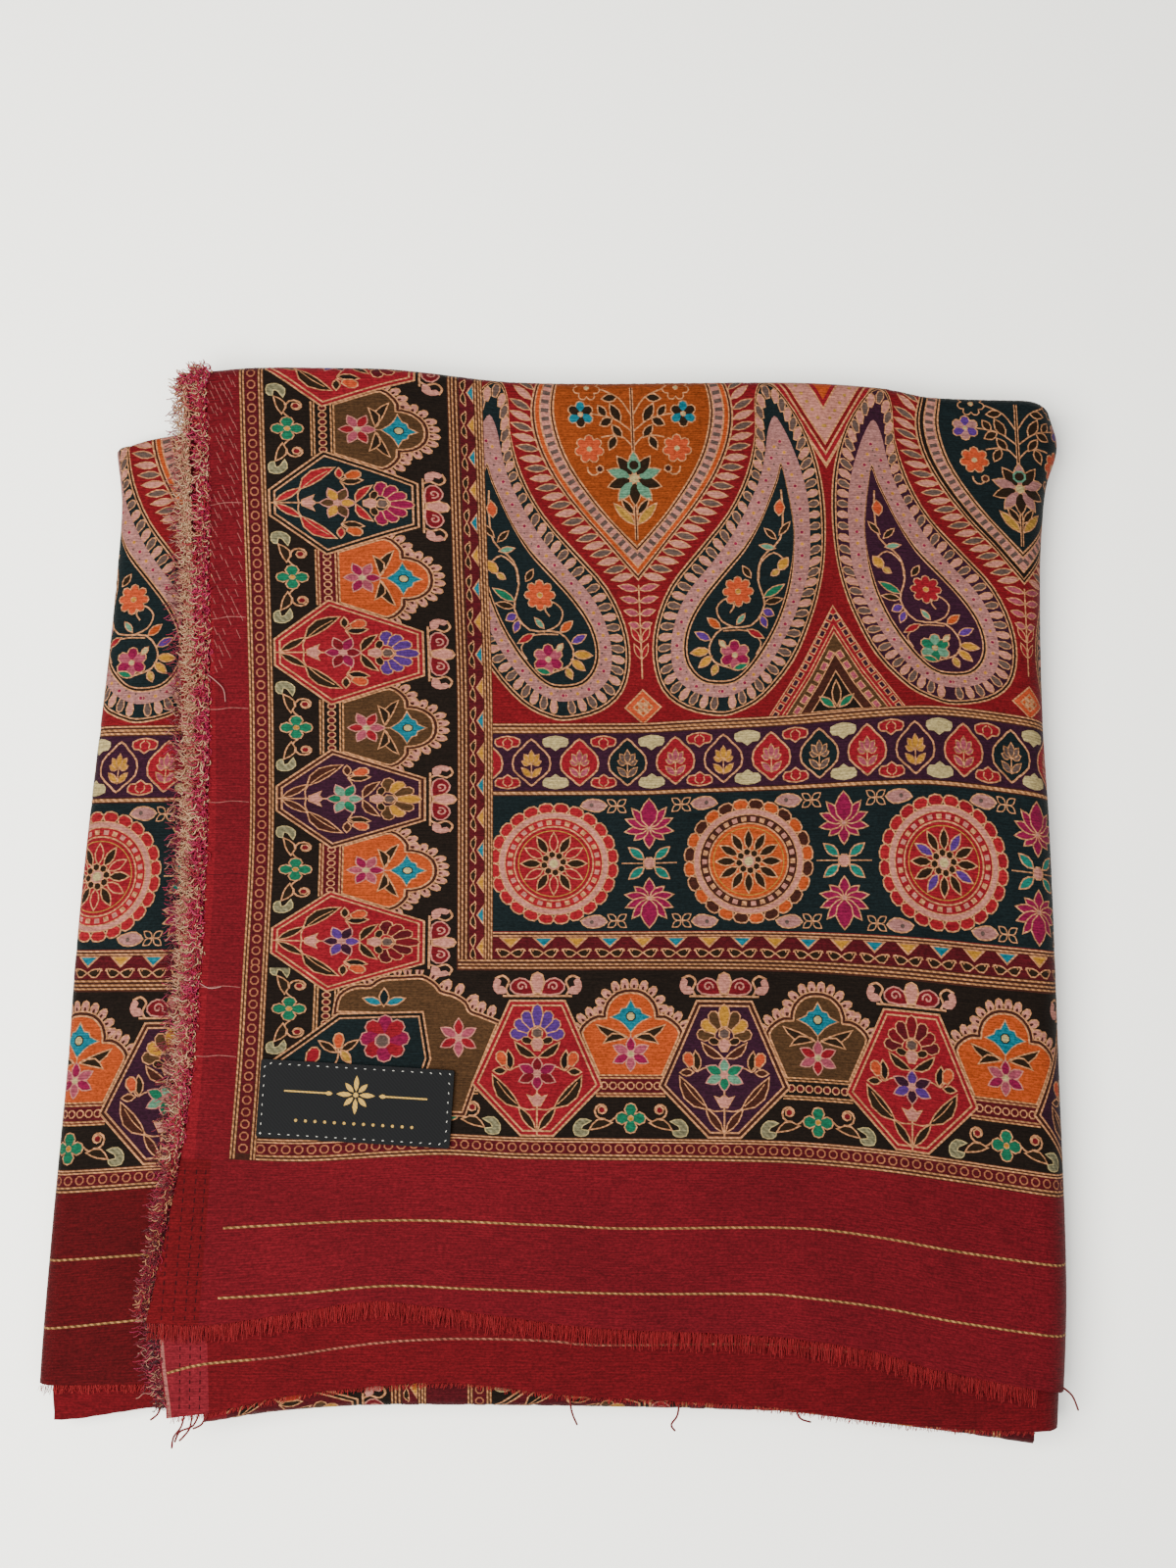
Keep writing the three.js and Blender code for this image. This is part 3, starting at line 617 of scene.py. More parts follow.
def lotus():
    """A spiky lotus that opens upwards."""
    shapes = []
    for degrees, reach, width in ((-90, 5.0, 2.4), (-38, 4.6, 1.8), (-142, 4.6, 1.8), (-8, 6.0, 1.9),
            (188, 6.0, 1.9), (22, 6.2, 2.0), (158, 6.2, 2.0), (50, 6.6, 2.1), (130, 6.6, 2.1),
            (90, 7.6, 4.2)):
        shapes += leaf(polar(0, 0, 0.4, degrees), polar(0, 0, reach, degrees), width, "magenta", line=0.33)
    return shapes + dot(0, 0, 0.6, "pink")


def lotus_pair():
    shapes = moved(lotus(), 0, 9.2) + moved(lotus(), 0, -9.2, sy=-1)
    for degrees in (38, 142, 218, 322):
        shapes += leaf(polar(0, 0, 2.0, degrees), polar(0, 0, 6.4, degrees), 1.9, "sea")
    shapes += box(-7.2, -0.15, 7.2, 0.15, "cream") + ringed(0, 0, 1.4, "pink", "cream", 0.3)
    drop = smooth(rows((5.6, 0), (4.0, 1.5), (1.2, 1.5), (-0.8, 0.2), (1.0, -1.3), (3.4, -1.0)), 2, True)
    sprig = outlined(drop, "lilac", width=0.35) + dot(3.0, 0.3, 0.6, "smoke")
    for degrees in (35, 145, 215, 325):
        sprig += leaf(polar(-3.6, 0, 0.4, degrees), polar(-3.6, 0, 2.7, degrees), 1.3, "teal_ground",
            line=0.28)
    for sx in (1, -1):
        for sy in (1, -1):
            shapes += moved(sprig, sx * 12.0, sy * 15.2, sx=sx, sy=sy)
    return shapes


def bud(ground, flower):
    shape = smooth(rows((0, -5.9), (-1.5, -4.6), (-4.4, -2.0), (-4.4, 1.4), (-2.0, 4.0), (0, 5.9),
        (2.0, 4.0), (4.4, 1.4), (4.4, -2.0), (1.5, -4.6)), 2, True)[::-1]
    shapes = outlined(shape, ground, "cream", 0.45)
    for degrees, reach in ((20, 2.5), (160, 2.5), (55, 3.2), (125, 3.2), (90, 3.6)):
        shapes += leaf(polar(0, -0.6, 0.5, degrees), polar(0, -0.6, reach, degrees), 1.4, flower, "rope",
            line=0.26)
    half = leaf((0.2, -3.8), (2.4, -1.6), 1.3, flower, "rope", line=0.26)
    return shapes + mirrored(half) + stem([(0, -4.2), (0, -0.4)], 0.3)


def cloud(dye, rim):
    shape = smooth(rows((-3.0, -0.6), (-2.6, 0.9), (-1.2, 1.0), (0, 1.9), (1.2, 1.0), (2.6, 0.9),
        (3.0, -0.6), (0, -1.4)), 2, True)
    shapes = outlined(shape[::-1], dye, rim, 0.35)
    if dye == "ruby":
        shapes += mirrored(stem([(0.2, -1), (1.2, -0.2), (1.0, 0.8)], 0.3))
    return shapes


def bud_band(centres, kinds):
    shapes = []
    looks = {"orange": ("purple", "yellow"), "red": ("ruby", "rose"), "teal": ("teal_ground", "smoke")}
    for i, (place, kind) in enumerate(zip(centres, kinds)):
        shapes += moved(bud(*looks[kind]), place, 0)
        look = ("pale", "pale") if i % 2 else ("ruby", "cream")
        for level in (-5.4, 5.4):
            shapes += moved(cloud(*look), place + 6.3, level, sy=-1 if level > 0 else 1)
    return shapes


def chevron(dye):
    """One triangle and its pair of small leaves, point down, from the band's lower line."""
    shapes = [(rows((-3.0, 5.6), (0, 2.7), (3.0, 5.6)), "cream"),
        (rows((-2.1, 5.3), (0, 3.3), (2.1, 5.3)), dye)]
    half = leaf((0.3, 1.5), (3.4, 2.3), 1.7, "leaf_dark", lean=-0.5, line=0.32)
    half += curl(3.0, 2.0, 0.9, 0, 200, 0.3)
    return shapes + mirrored(half)


# The great paisley, about the middle of its foot: its outer edge and its dark heart, point for
# point, so that every band of it lies between the two.
PAISLEY_OUTER = rows((0, 0), (-8.6, 2.4), (-14.4, 7.6), (-16.6, 16.0), (-15.6, 25.4), (-11.4, 35.2),
    (-3.8, 44.4), (4.6, 54.4), (10.0, 65.0), (12.8, 76.0), (13.2, 86.0), (15.4, 91.0), (19.4, 88.4),
    (25.4, 79.0), (29.2, 67.4), (30.5, 55.4), (30.0, 43.2), (28.4, 33.8), (25.4, 24.4), (20.4, 13.8),
    (12.4, 4.6), (5.4, 0.8))
PAISLEY_HEART = rows((1.0, 9.0), (-3.7, 10.0), (-6.9, 13.6), (-7.9, 18.6), (-6.4, 25.0), (-2.4, 31.6),
    (3.4, 38.4), (8.8, 44.6), (13.0, 51.4), (16.0, 58.0), (18.2, 63.4), (19.4, 67.2), (20.4, 62.6),
    (21.4, 56.0), (22.0, 49.6), (21.6, 43.2), (20.6, 36.8), (19.0, 30.8), (16.2, 24.0), (12.4, 17.6),
    (8.4, 12.4), (4.9, 9.6))


def part_way(start, end, depth):
    """The outline that lies depth millimetres from one outline on the way to the other."""
    apart = end - start
    reach = np.linalg.norm(apart, axis=1, keepdims=True)
    return start + apart * np.minimum(depth / reach, 1)


# The edge between the paisley's teeth and its dotted band, which runs on into the paisley's tip.
PAISLEY_BAND = part_way(PAISLEY_OUTER, PAISLEY_HEART, 5.1)
PAISLEY_BAND[8:16] = rows((13.0, 62.0), (15.2, 70.0), (16.4, 77.0), (18.2, 80.8), (20.4, 77.6),
    (22.8, 71.6), (25.0, 64.0), (26.2, 54.6))


def point_on(line, at):
    """The point at a row of a closed line, or part of the way between two rows."""
    rows_on = np.arange(len(line) + 1)
    return np.array([np.interp(at, rows_on, np.append(line[:, k], line[0, k])) for k in (0, 1)])


def paisley(ground, high_bloom="coral", low_bloom="magenta", low_second="rose"):
    """A paisley in bands: a toothed one, a dotted one, and a heart of flowers on a winding stem."""
    inwards = lambda depth: smooth(part_way(PAISLEY_OUTER, PAISLEY_BAND, depth), 3, True)
    outwards = lambda depth: smooth(part_way(PAISLEY_HEART, PAISLEY_BAND, depth), 3, True)
    band = smooth(PAISLEY_BAND, 3, True)
    rims = ((0, "cream"), (0.42, "black"), (0.95, "cream"), (1.32, ground))
    shapes = [(inwards(depth), dye) for depth, dye in rims]
    tips, feet = inwards(1.75), inwards(5.3)
    lengths = np.linalg.norm(np.diff(np.vstack([tips, tips[:1]]), axis=0), axis=1)
    places = np.arange(1.3, lengths.sum() - 1, 3.05)
    tooth_rows = np.interp(places, np.concatenate([[0], np.cumsum(lengths)]), np.arange(len(tips) + 1))
    for i, row in enumerate(tooth_rows):
        base, tip = point_on(feet, row), point_on(tips, row)
        tip = base + (tip - base) * min(1.0, 4.2 / max(np.linalg.norm(tip - base), 1e-6))
        shapes += lobe(base, tip, 1.7, "pink" if i % 2 else "smoke", line=0.28)
    shapes += [(band, "lilac")]
    middle = (band + outwards(0.8)) / 2
    for i, (place, heading) in enumerate(walk(np.vstack([middle, middle[:1]]), 1.6)):
        across = spot(-heading[1], heading[0])
        if i % 2:
            for side, dye in ((1.05, "pink"), (-1.05, "smoke")):
                shapes += dot(*(place + across * side), 0.3, dye, 5)
        else:
            shapes += dot(*place, 0.72, "pink", 6) + dot(*place, 0.46, "yellow" if i % 4 else "magenta", 5)
    rims = ((0.8, "cream"), (0.4, "black"), (-0.15, "cream"), (-0.5, ground))
    shapes += [(outwards(depth), dye) for depth, dye in rims]
    shapes += stem([(19.0, 60.5), (19.2, 54), (18.2, 47), (13.2, 42), (12.0, 36), (13.4, 29.5), (9.6, 24),
        (2.0, 23.4), (-1.6, 18.8), (-0.4, 14.6), (4.4, 12.6)], 0.45)
    shapes += stem([(12.2, 36.5), (12.8, 40.6), (16.4, 43.4), (19.6, 41.0)], 0.4)
    shapes += stem([(6.0, 23.4), (2.0, 25.4), (0.8, 29.0), (3.4, 31.4), (5.4, 29.6), (4.2, 27.6)], 0.4)
    shapes += stem([(2.2, 22.8), (8.6, 22.6), (12.0, 19.4), (10.6, 16.2)], 0.35)
    shapes += bloom(6.6, 33.2, 3.9, [high_bloom], 8, core="yellow", width=2.1, blunt=True, line=0.28)
    shapes += bloom(5.0, 16.2, 3.9, [low_bloom, low_second], 6, core="pale", width=2.6, blunt=True, line=0.3)
    sprays = (
        (18.2, 53.6, 18.6, 57.6, 2.4, "coral"), (17.0, 47.2, 14.4, 49.8, 1.3, "leaf_dark"),
        (18.2, 48.4, 20.8, 51.4, 1.3, "leaf_dark"), (16.6, 44.6, 13.0, 45.4, 1.3, "mint"),
        (17.6, 38.8, 20.0, 41.8, 2.3, "yellow"), (17.6, 38.6, 15.6, 37.4, 1.4, "gold"),
        (13.4, 31.6, 18.6, 34.6, 1.8, "green"), (13.6, 30.0, 18.0, 30.8, 1.5, "leaf_dark"),
        (13.0, 28.0, 15.6, 26.6, 2.0, "violet"), (12.4, 26.4, 13.6, 23.4, 1.6, "violet"),
        (8.8, 22.8, 12.6, 20.6, 1.5, "ruby"), (10.0, 37.0, 8.2, 39.8, 1.5, "leaf_dark"),
        (1.4, 23.6, -1.6, 26.2, 1.8, "orange"), (-1.4, 20.6, -5.0, 22.6, 1.8, "violet"),
        (-1.8, 17.6, -6.4, 17.2, 2.0, "yellow"), (-1.2, 16.0, -4.4, 13.4, 1.8, "yellow"),
        (0.2, 13.8, -1.0, 11.2, 1.6, "gold"), (1.2, 20.2, 2.6, 18.4, 1.2, "pale"),
        (4.6, 12.5, 8.2, 13.6, 1.4, "green"), (6.0, 24.6, 8.0, 27.0, 1.2, "mint"),
    )
    for x0, y0, x1, y1, width, dye in sprays:
        shapes += leaf((x0, y0), (x1, y1), width, dye, line=0.28)
    return shapes


# The heart-shaped drop between two paisleys, about its own tip: right half, outer edge and heart.
DROP_OUTER = rows((0, 0), (7.4, 9.0), (15.4, 18.6), (21.8, 28.0), (25.8, 37.4), (26.8, 46.0), (25.0, 54.0))
DROP_HEART = rows((0, 9.4), (4.2, 13.8), (8.8, 19.2), (15.0, 28.2), (18.8, 36.4), (20.6, 45.6), (19.4, 54.0))


def drop(fill, band, line_dye, star, side_blooms):
    """A drop in bands, with leaves round it and a flower, a stem and sprays in its heart."""
    at = lambda share: smooth(DROP_OUTER * (1 - share) + DROP_HEART * share, 4)
    both = lambda half: np.vstack([half, (half * (-1, 1))[:0:-1]])
    bands = lambda *pairs: [(both(at(share)), dye) for share, dye in pairs]
    shapes = []
    for i, (place, heading) in enumerate(walk(at(0.0), 2.75, 2.2)):
        out = spot(heading[1], -heading[0])
        tip = place + out * 5.0 + heading * 2.4
        shapes += mirrored(leaf(place + out * 0.2, tip, 1.6, "smoke" if i % 2 else "pink", line=0.3))
    shapes += bands((0.0, "cream"), (0.07, line_dye), (0.15, "cream"), (0.2, band), (0.36, "cream"),
        (0.42, "pink"))
    for place, heading in walk(at(0.6), 2.3, 1.4):
        across = spot(-heading[1], heading[0])
        shapes += mirrored([(block(place, across, heading, 1.0, 0.55), "smoke")])
    shapes += bands((0.8, "cream"), (0.86, line_dye), (0.93, "cream"), (1.0, fill))
    shapes += stem([(0, 11), (0, 52)], 0.9, "cream") + stem([(0, 10.5), (0, 52)], 0.35, line_dye)
    shapes += bloom(0, 27.4, 7.2, (star, "leaf_dark"), 10, core="pale", width=2.8)
    shapes += ringed(0, 31.0, 1.3, "leaf_dark", "mint", 0.5)
    half = leaf((0.6, 15.2), (5.4, 20.4), 2.0, "gold") + leaf((0.6, 17.8), (3.4, 21.6), 1.5, "leaf_dark")
    for path in ([(0.4, 36.4), (3.4, 39.2), (8.4, 38.6)], [(0.4, 40.4), (5, 43.8), (11.2, 45.0)],
            [(0.4, 44.8), (3.4, 49.2), (8.2, 51.6)]):
        half += stem(path)
    half += bloom(11.6, 35.4, 3.7, ["coral"], 7, core="pale", width=2.2, blunt=True)
    half += curl(10.2, 29.8, 2.2, 20, -260, 0.45) + ringed(9.0, 30.0, 0.8, "bark", sides=6)
    half += bloom(13.6, 44.8, 3.4, side_blooms, 6, core="pale", width=2.3, blunt=True)
    half += bloom(11.8, 52.0, 3.4, [fill], 7, core="pale", width=2.0, blunt=True)
    for x0, y0, x1, y1, width in ((4.6, 38.8, 6.2, 35.4, 1.9), (3.0, 38.8, 5.2, 41.8, 1.8),
            (5.4, 43.6, 8.4, 42.0, 2.0), (3.2, 43.0, 5.6, 47.4, 2.2), (7.0, 44.4, 8.8, 47.0, 1.7),
            (4.0, 49.4, 7.6, 49.0, 1.8)):
        half += leaf((x0, y0), (x1, y1), width, "leaf_dark")
    return shapes + mirrored(half)


def sprig_under_drop():
    shapes = stem([(0, -1), (0, -26)], 0.4)
    half = []
    for level, reach in ((-2.2, 5.0), (-5.4, 4.6), (-8.8, 3.8), (-12.2, 2.8)):
        half += leaf((0.4, level), (reach, level + 0.9), 1.5, "rose", line=0.3)
    half += leaf((0.4, -16.0), (2.3, -12.6), 1.3, "ruby", line=0.3)
    half += leaf((0.3, -20.4), (1.7, -17.0), 1.1, "ruby", line=0.28)
    shapes += mirrored(half)
    diamond = rows((0, -37.6), (4.4, -33.6), (0, -29.2), (-4.4, -33.6))
    shapes += layered(diamond, (0.4, "cream"), (0, "coral"), (-1.1, "cream"), (-1.5, "orange"))
    return shapes + bloom(0, -33.5, 1.7, ["cream"], 4, core="coral", width=0.9, turn=45)


def tent():
    """The stepped tent between two paisleys at their feet, and the point that hangs above it."""
    slope = rows((17.8, -1.0), (8.6, 12.6), (0, 28.0))
    shapes = []
    whole = with_mirror(slope)
    shapes += outlined(whole, "ruby", "cream", 0.3)
    for place, heading in walk(smooth(slope * (0.93, 0.95), 3), 2.5, 0.6):
        quad = block(place, heading, spot(-heading[1], heading[0]), 0.75, 0.5)
        shapes += mirrored([(grown(quad, 0.25), "cream"), (quad, "purple")])
    for share, dye in ((0.8, "ruby"), (0.74, "brown"), (0.53, "bark")):
        shapes += outlined(whole * share, dye, "cream", 0.3)
    for place, heading in walk(smooth(slope * 0.62, 3), 3.4, 1.2):
        quad = block(place, heading, spot(-heading[1], heading[0]), 0.95, 0.55)
        shapes += mirrored([(grown(quad, 0.25), "cream"), (quad, "rose")])
    shapes += outlined(whole * 0.36, "black", "cream", 0.3)
    shapes += mirrored(leaf((0.8, 0.6), (4.2, 3.4), 1.7, "green"))
    shapes += leaf((0, 1.0), (0, 7.4), 2.0, "leaf_dark")
    for reach, foot, dye in ((14.6, 66.4, "cream"), (13.8, 68.0, "ruby"), (12.6, 70.0, "cream"),
            (12.0, 71.0, "field_red"), (11.0, 72.8, "cream"), (10.4, 73.8, "pink"), (5.2, 82.6, "cream"),
            (4.6, 83.6, "ruby"), (3.4, 85.6, "orange")):
        shapes.append((rows((-reach, 92), (0, foot), (reach, 92)), dye))
    for place, heading in walk(rows((0, 78.0), (8.4, 91.4)), 2.6, 0.4):
        shapes += mirrored(dot(*place, 0.5, "gold"))
    return shapes


FIELD_PERIOD = 101.6


def field(drop_axes, foot):
    """Paisleys, drops and tents round each drop axis, standing on the line v = foot."""
    shapes = []
    warm = ("rust", "orange", "bark", "mint", ["teal", "leaf_dark"])
    cool = ("teal_ground", "black", "black", "lilac", ["violet", "lilac"])
    for axis, look in drop_axes:
        shapes += moved(sprig_under_drop() + drop(*(warm if look == "warm" else cool)), axis, foot + 36.9)
    for axis in dict(drop_axes):
        shapes += moved(tent(), axis + FIELD_PERIOD / 2, foot)
    for axis, look in drop_axes:
        one = paisley("teal_ground") if look == "warm" else paisley("purple", "ruby", "mint", "green")
        shapes += moved(one, axis + 19.5, foot) + moved(one, axis - 19.5, foot, sx=-1)
    return shapes


def lines_along(u0, u1, levels):
    return [shape for v, width, dye in levels for shape in box(u0, v - width / 2, u1, v + width / 2, dye)]


RING_PITCH, CHEVRON_PITCH, BUD_PITCH, SIDE_PITCH = 3.07, 8.6, 12.55, 38.0
STRIPES = [(14.5, 0.54, "stripe"), (31.7, 0.54, "stripe")]
FOOT_LINES = [(98.3, 0.42, "rope"), (99.2, 0.42, "rope"), (100.2, 0.42, "rope")]
SIDE_ROPES = (11.2, 12.0, 16.1, 16.9)
RING_BAND_LINES = [(48.7, 0.42, "rope"), (49.6, 0.42, "rope"), (53.0, 0.36, "cream"), (53.7, 0.36, "cream")]


def end_bands(u0, u1, phases):
    """Every band across the shawl's end, from its stripes to the foot of the field."""
    shapes = lines_along(u0, u1, STRIPES)
    shapes += box(u0, 48.3, u1, 54.1, "bark") + box(u0, 49.9, u1, 52.8, "maroon")
    shapes += lines_along(u0, u1, RING_BAND_LINES)
    shapes += ring_row([(place, 51.35) for place in np.arange(u0 + 1.2, u1, RING_PITCH)])
    shapes += box(u0, 54.1, u1, 97.6, "black")
    shapes += moved(border_cells(phases["hexagons"], phases["cells"]), 0, 54.2)
    shapes += box(u0, 97.6, u1, 107.6, "bark")
    shapes += lines_along(u0, u1, FOOT_LINES + [(106.7, 0.36, "cream"), (107.5, 0.36, "cream")])
    shapes += box(u0, 100.7, u1, 106.3, "maroon")
    for i, place in enumerate(np.arange(phases["chevron"], u1 - 3, CHEVRON_PITCH)):
        shapes += moved(chevron("teal" if i % 2 else "yellow"), place, 100.7)
    shapes += box(u0, 107.9, u1, 143.8, "teal_ground")
    looks = (
        (("bright_red", "bright_red"), "ruby", "bright_red", ("leaf_dark", "ruby")),
        (("orange", "bark"), "orange", "bark", ("leaf_dark", "leaf_dark")),
        (("ruby", "bright_red"), "ruby", "ruby", ("leaf_dark", "leaf_dark", "violet")),
    )
    for i, place in enumerate(phases["medallions"]):
        shapes += moved(medallion(*looks[(i + phases["first_medallion"]) % 3]), place, 125.8)
        shapes += moved(lotus_pair(), place + 24.9, 125.8)
    shapes += box(u0, 143.8, u1, 145.2, "bark") + lines_along(u0, u1, [(144.5, 0.75, "rope")])
    shapes += box(u0, 145.2, u1, 160.3, "purple")
    shapes += moved(bud_band(phases["buds"], phases["bud_kinds"]), 0, 152.7)
    shapes += box(u0, 160.3, u1, 163.2, "bark")
    return shapes + lines_along(u0, u1,
        [(160.9, 0.55, "rope"), (161.8, 0.55, "rope"), (162.8, 0.4, "cream")])


def on_side(part, v):
    """A motif of the end border turned and fitted to the side border."""
    return moved(moved(part, sx=0.783, sy=1.1), 17.6, v, -90)


SIDE_HEXAGONS = [DARK_FLOWERED, PURPLE_HEXAGON, RED_HEXAGON, TEAL_HEXAGON, DARK_FLOWERED]
SIDE_ARCHES = [ORANGE_OGEE, BROWN_OGEE]


def side_border(v0, v1, looks=SIDE_HEXAGONS, arches=SIDE_ARCHES):
    """The border along the selvedge, from its rope line to the narrow chevrons beside the field."""
    shapes = box(10.9, v0, 17.3, v1, "bark") + box(12.4, v0, 15.7, v1, "maroon")
    shapes += box(17.3, v0, 65.0, v1, "black")
    shapes += upright_lines(SIDE_ROPES, 0.21, v0, v1)
    shapes += ring_row([(14.05, place) for place in np.arange(v0 + 1.4, v1, RING_PITCH)])
    centres = np.arange(104.9, v1 + 20, SIDE_PITCH)
    for i, v in enumerate(centres):
        shapes += on_side(foot_flower() + ogee(*arches[i % 2]), v + SIDE_PITCH / 2)
    for v, look in zip(centres, looks):
        shapes += on_side(hexagon_cell(*look) + crown(), v)
    shapes += box(65.0, v0, 74.4, v1, "bark") + box(68.2, v0, 72.0, v1, "maroon")
    shapes += upright_lines((65.5, 66.4, 67.4, 72.5, 73.3, 74.0), 0.2, v0, v1)
    for i, v in enumerate(np.arange(v0 + 6, v1, CHEVRON_PITCH)):
        part = moved(chevron("teal" if i % 2 else "yellow"), sx=0.95, sy=0.68)
        shapes += moved(part, 68.2, v, -90)
    return shapes


CORNER_ARCH = rows((35.4, 86.8), (36.2, 90.3), (39.5, 92.3), (43.5, 92.5), (46.4, 94.4), (51.7, 94.8),
    (56.2, 95.0), (59.1, 93.2), (60.7, 91.3), (64.0, 90.3), (66.8, 88.6), (68.1, 86.2), (71.3, 84.9),
    (75.2, 83.4))
CORNER_HEXAGON = rows((19.8, 74.3), (35.4, 86.2), (56.8, 86.6), (58.9, 73.9), (55, 61), (38, 56), (22, 60))


def corner():
    """The corner of the dark border, partly under the label: a slanted hexagon below a wide arch."""
    shapes = box(17.3, 54.1, 65.0, 98, "black") + moved(foot_flower() + ring_strip("black"), 61.75, 54.2)
    shapes += on_side(foot_flower() + ring_strip("black"), 87.2)
    top = smooth(CORNER_ARCH, 3)
    for place, heading in walk(top[8:], 2.7, 0.4):
        out = spot(-heading[1], heading[0])
        shapes += lobe(place + out * 1.0, place + out * 4.2, 1.8, "pink", line=0.3)
        shapes.append((lobe_shape(place + out * 1.0, place + out * 2.6, 0.7), "bark"))
    arch = np.vstack([top, rows((69.0, 67.5), (66.5, 60), (57, 60), (56.8, 86.0))])
    shapes += layered(arch, (1.4, "cream"), (1.05, "bark"), (0.42, "cream"), (0, "brown"))
    shapes += leaf((46.2, 88.6), (41.8, 89.9), 1.7, "teal") + leaf((47.4, 88.6), (51.8, 89.9), 1.7, "teal")
    shapes += leaf((46.8, 88.2), (46.8, 92.4), 2.1, "teal_ground")
    shapes += bloom(65.6, 79.6, 4.9, ["ruby", "rose"], 6, rim="pink", core="pink", width=2.1)
    shapes += layered(CORNER_HEXAGON, (0, "cream"), (-0.45, "black"), (-1.2, "cream"), (-1.6, "teal_ground"))
    shapes += bloom(47.2, 79.4, 6.0, ["magenta", "ruby"], 8, rim="pink", core="smoke", width=3.9, blunt=True)
    shapes += ringed(46.6, 78.8, 1.6, "smoke", "pink", 0.4)
    shapes += lobe((35.8, 77.2), (35.8, 80.8), 2.3, "coral")
    shapes += leaf((36.4, 76.2), (40.4, 78.9), 1.5, "leaf_dark")
    shapes += leaf((35.2, 76.2), (31.2, 78.8), 1.5, "leaf_dark")
    shapes += leaf((36.6, 76.4), (38.8, 73.4), 1.7, "gold")
    shapes += lobe((28.6, 73.0), (30.4, 77.2), 3.0, "ruby") + stem([(35.8, 77.2), (35.6, 74), (33, 70)], 0.4)
    return shapes


TOP_PHASES = {
    "hexagons": [86.0, 134.5, 183.0, 231.5],
    "cells": [RED_CELL, PURPLE_CELL, DARK_FLOWERED_CELL, PURPLE_CELL],
    "chevron": 79.0,
    "medallions": [90.2, 141.0, 191.8, 242.6],
    "first_medallion": 0,
    "buds": np.arange(71.9, 256, BUD_PITCH),
    "bud_kinds": ["red", "orange", "red", "teal"] * 4,
}
COLUMN_PHASES = {
    "hexagons": [-10.1, 38.4],
    "cells": [RED_CELL, PURPLE_CELL],
    "chevron": 6.0,
    "medallions": [-36.3, 14.5],
    "first_medallion": 2,
    "buds": np.arange(-8.0, 66, BUD_PITCH),
    "bud_kinds": ["teal", "red", "orange", "red"] * 3,
}
REVERSE_STRIPE = rows((-99.1, -122), (-89.6, -119.7), (-70.4, -117.9), (-47.3, -114.6), (-25.8, -113.3),
    (-1.4, -113.8), (11.7, -114.9), (50, -114.6), (64.5, -115.4), (77.6, -116.7))


def selvedge_marks():
    """The selvedge's brighter band, with its pulled wefts, rows of darning and patch of floated twill."""
    shapes = box(-12, -8, 6.4, 48, "worn_red") + box(-12, 48, 2.0, 275, "satin_red")
    for v in (219, 189.8, 166.7, 141.9, 122.4, 92.4, 74.5):
        dye = "dash" if v == 122.4 else "pulled"
        shapes += stem([(-4, v + 0.3), (2, v - 0.2), (6, v + 0.25), (10.6, v)], 0.16, dye)
    for u in (-3.3, -0.2, 2.8, 5.2):
        for v in np.arange(-4, 46, 2.2):
            shapes += box(u - 0.16, v, u + 0.16, v + 1.15, "dash")
    for u in np.arange(-4, 9.6, 1.2):
        for v in np.arange(176, 254, 3.3):
            if RNG.random() < 0.35 + 0.5 * (v - 176) / 78:
                at, length = v + 0.9 * u + RNG.uniform(-0.7, 0.7), RNG.uniform(0.7, 1.5)
                shapes += ribbon(rows((u, at), (u + 0.8 * length, at - 1.9 * length)), 0.14, "pulled")
    return shapes


def top_pattern():
    shapes = box(-12, -8, 262, 275, "crimson") + box(74.4, 163.2, 262, 275, "field_red")
    shapes += field([(113.8, "warm"), (113.8 + FIELD_PERIOD, "cool")], 163.8)
    return shapes + end_bands(10.9, 262, TOP_PHASES) + side_cover() + selvedge_marks()


def side_cover():
    """The side border crosses the end bands, so it is drawn over their left ends."""
    shapes = corner() + side_border(97.6, 275)
    shapes += box(10.9, 48.3, 17.3, 97.6, "bark") + box(12.4, 50, 15.7, 97.6, "maroon")
    shapes += upright_lines(SIDE_ROPES, 0.21, 48.5, 97.6)
    shapes += ring_row([(14.05, place) for place in np.arange(51.3, 98, RING_PITCH)])
    shapes += box(65.2, 97.6, 74.4, 100.6, "bark") + lines_along(65.4, 74.4, FOOT_LINES)
    return shapes + moved(hexagon_cell(*RED_HEXAGON), TOP_PHASES["hexagons"][0], 54.2)


def column_pattern():
    # The column's ground is the crimson cloth drawn darker, as painted shade.
    shapes = box(-14, -12, 76, 275, "shaded_column_red") + box(-14, 163.2, 76, 275, "field_red")
    shapes += field([(41.6, "warm")], 163.8)
    return shapes + end_bands(-14, 76, COLUMN_PHASES)


LABEL_OUTLINE = smooth(rows((-25, -9.6), (-24.6, -10), (0, -10), (24.6, -10), (25, -9.6), (25, 0),
    (25, 9.6), (24.6, 10), (0, 10), (-24.6, 10), (-25, 9.6), (-25, 0)), 1, True)


def label_pattern():
    """A plain gold rosette between two lines, with a beaded line below."""
    shapes = box(-26, -11, 26, 11, "satin_black")
    for turn in range(0, 360, 45):
        tip = polar(0, 2.2, 4.1 if turn % 90 else 5.0, turn)
        shapes.append((leaf_shape(polar(0, 2.2, 0.9, turn), tip, 1.3), "label_gold"))
    shapes += dot(0, 2.2, 0.7, "label_gold")
    for side in (-1, 1):
        shapes += box(side * 12.5 - 6, 2.0, side * 12.5 + 6, 2.4, "label_gold")
        shapes += [(leaf_shape((side * 6.0, 2.2), (side * 8.0, 2.2), 1.1), "label_gold")]
    for x in np.arange(-15, 15.1, 2.5):
        shapes += dot(x, -5.2, 0.42, "label_gold")
    return shapes


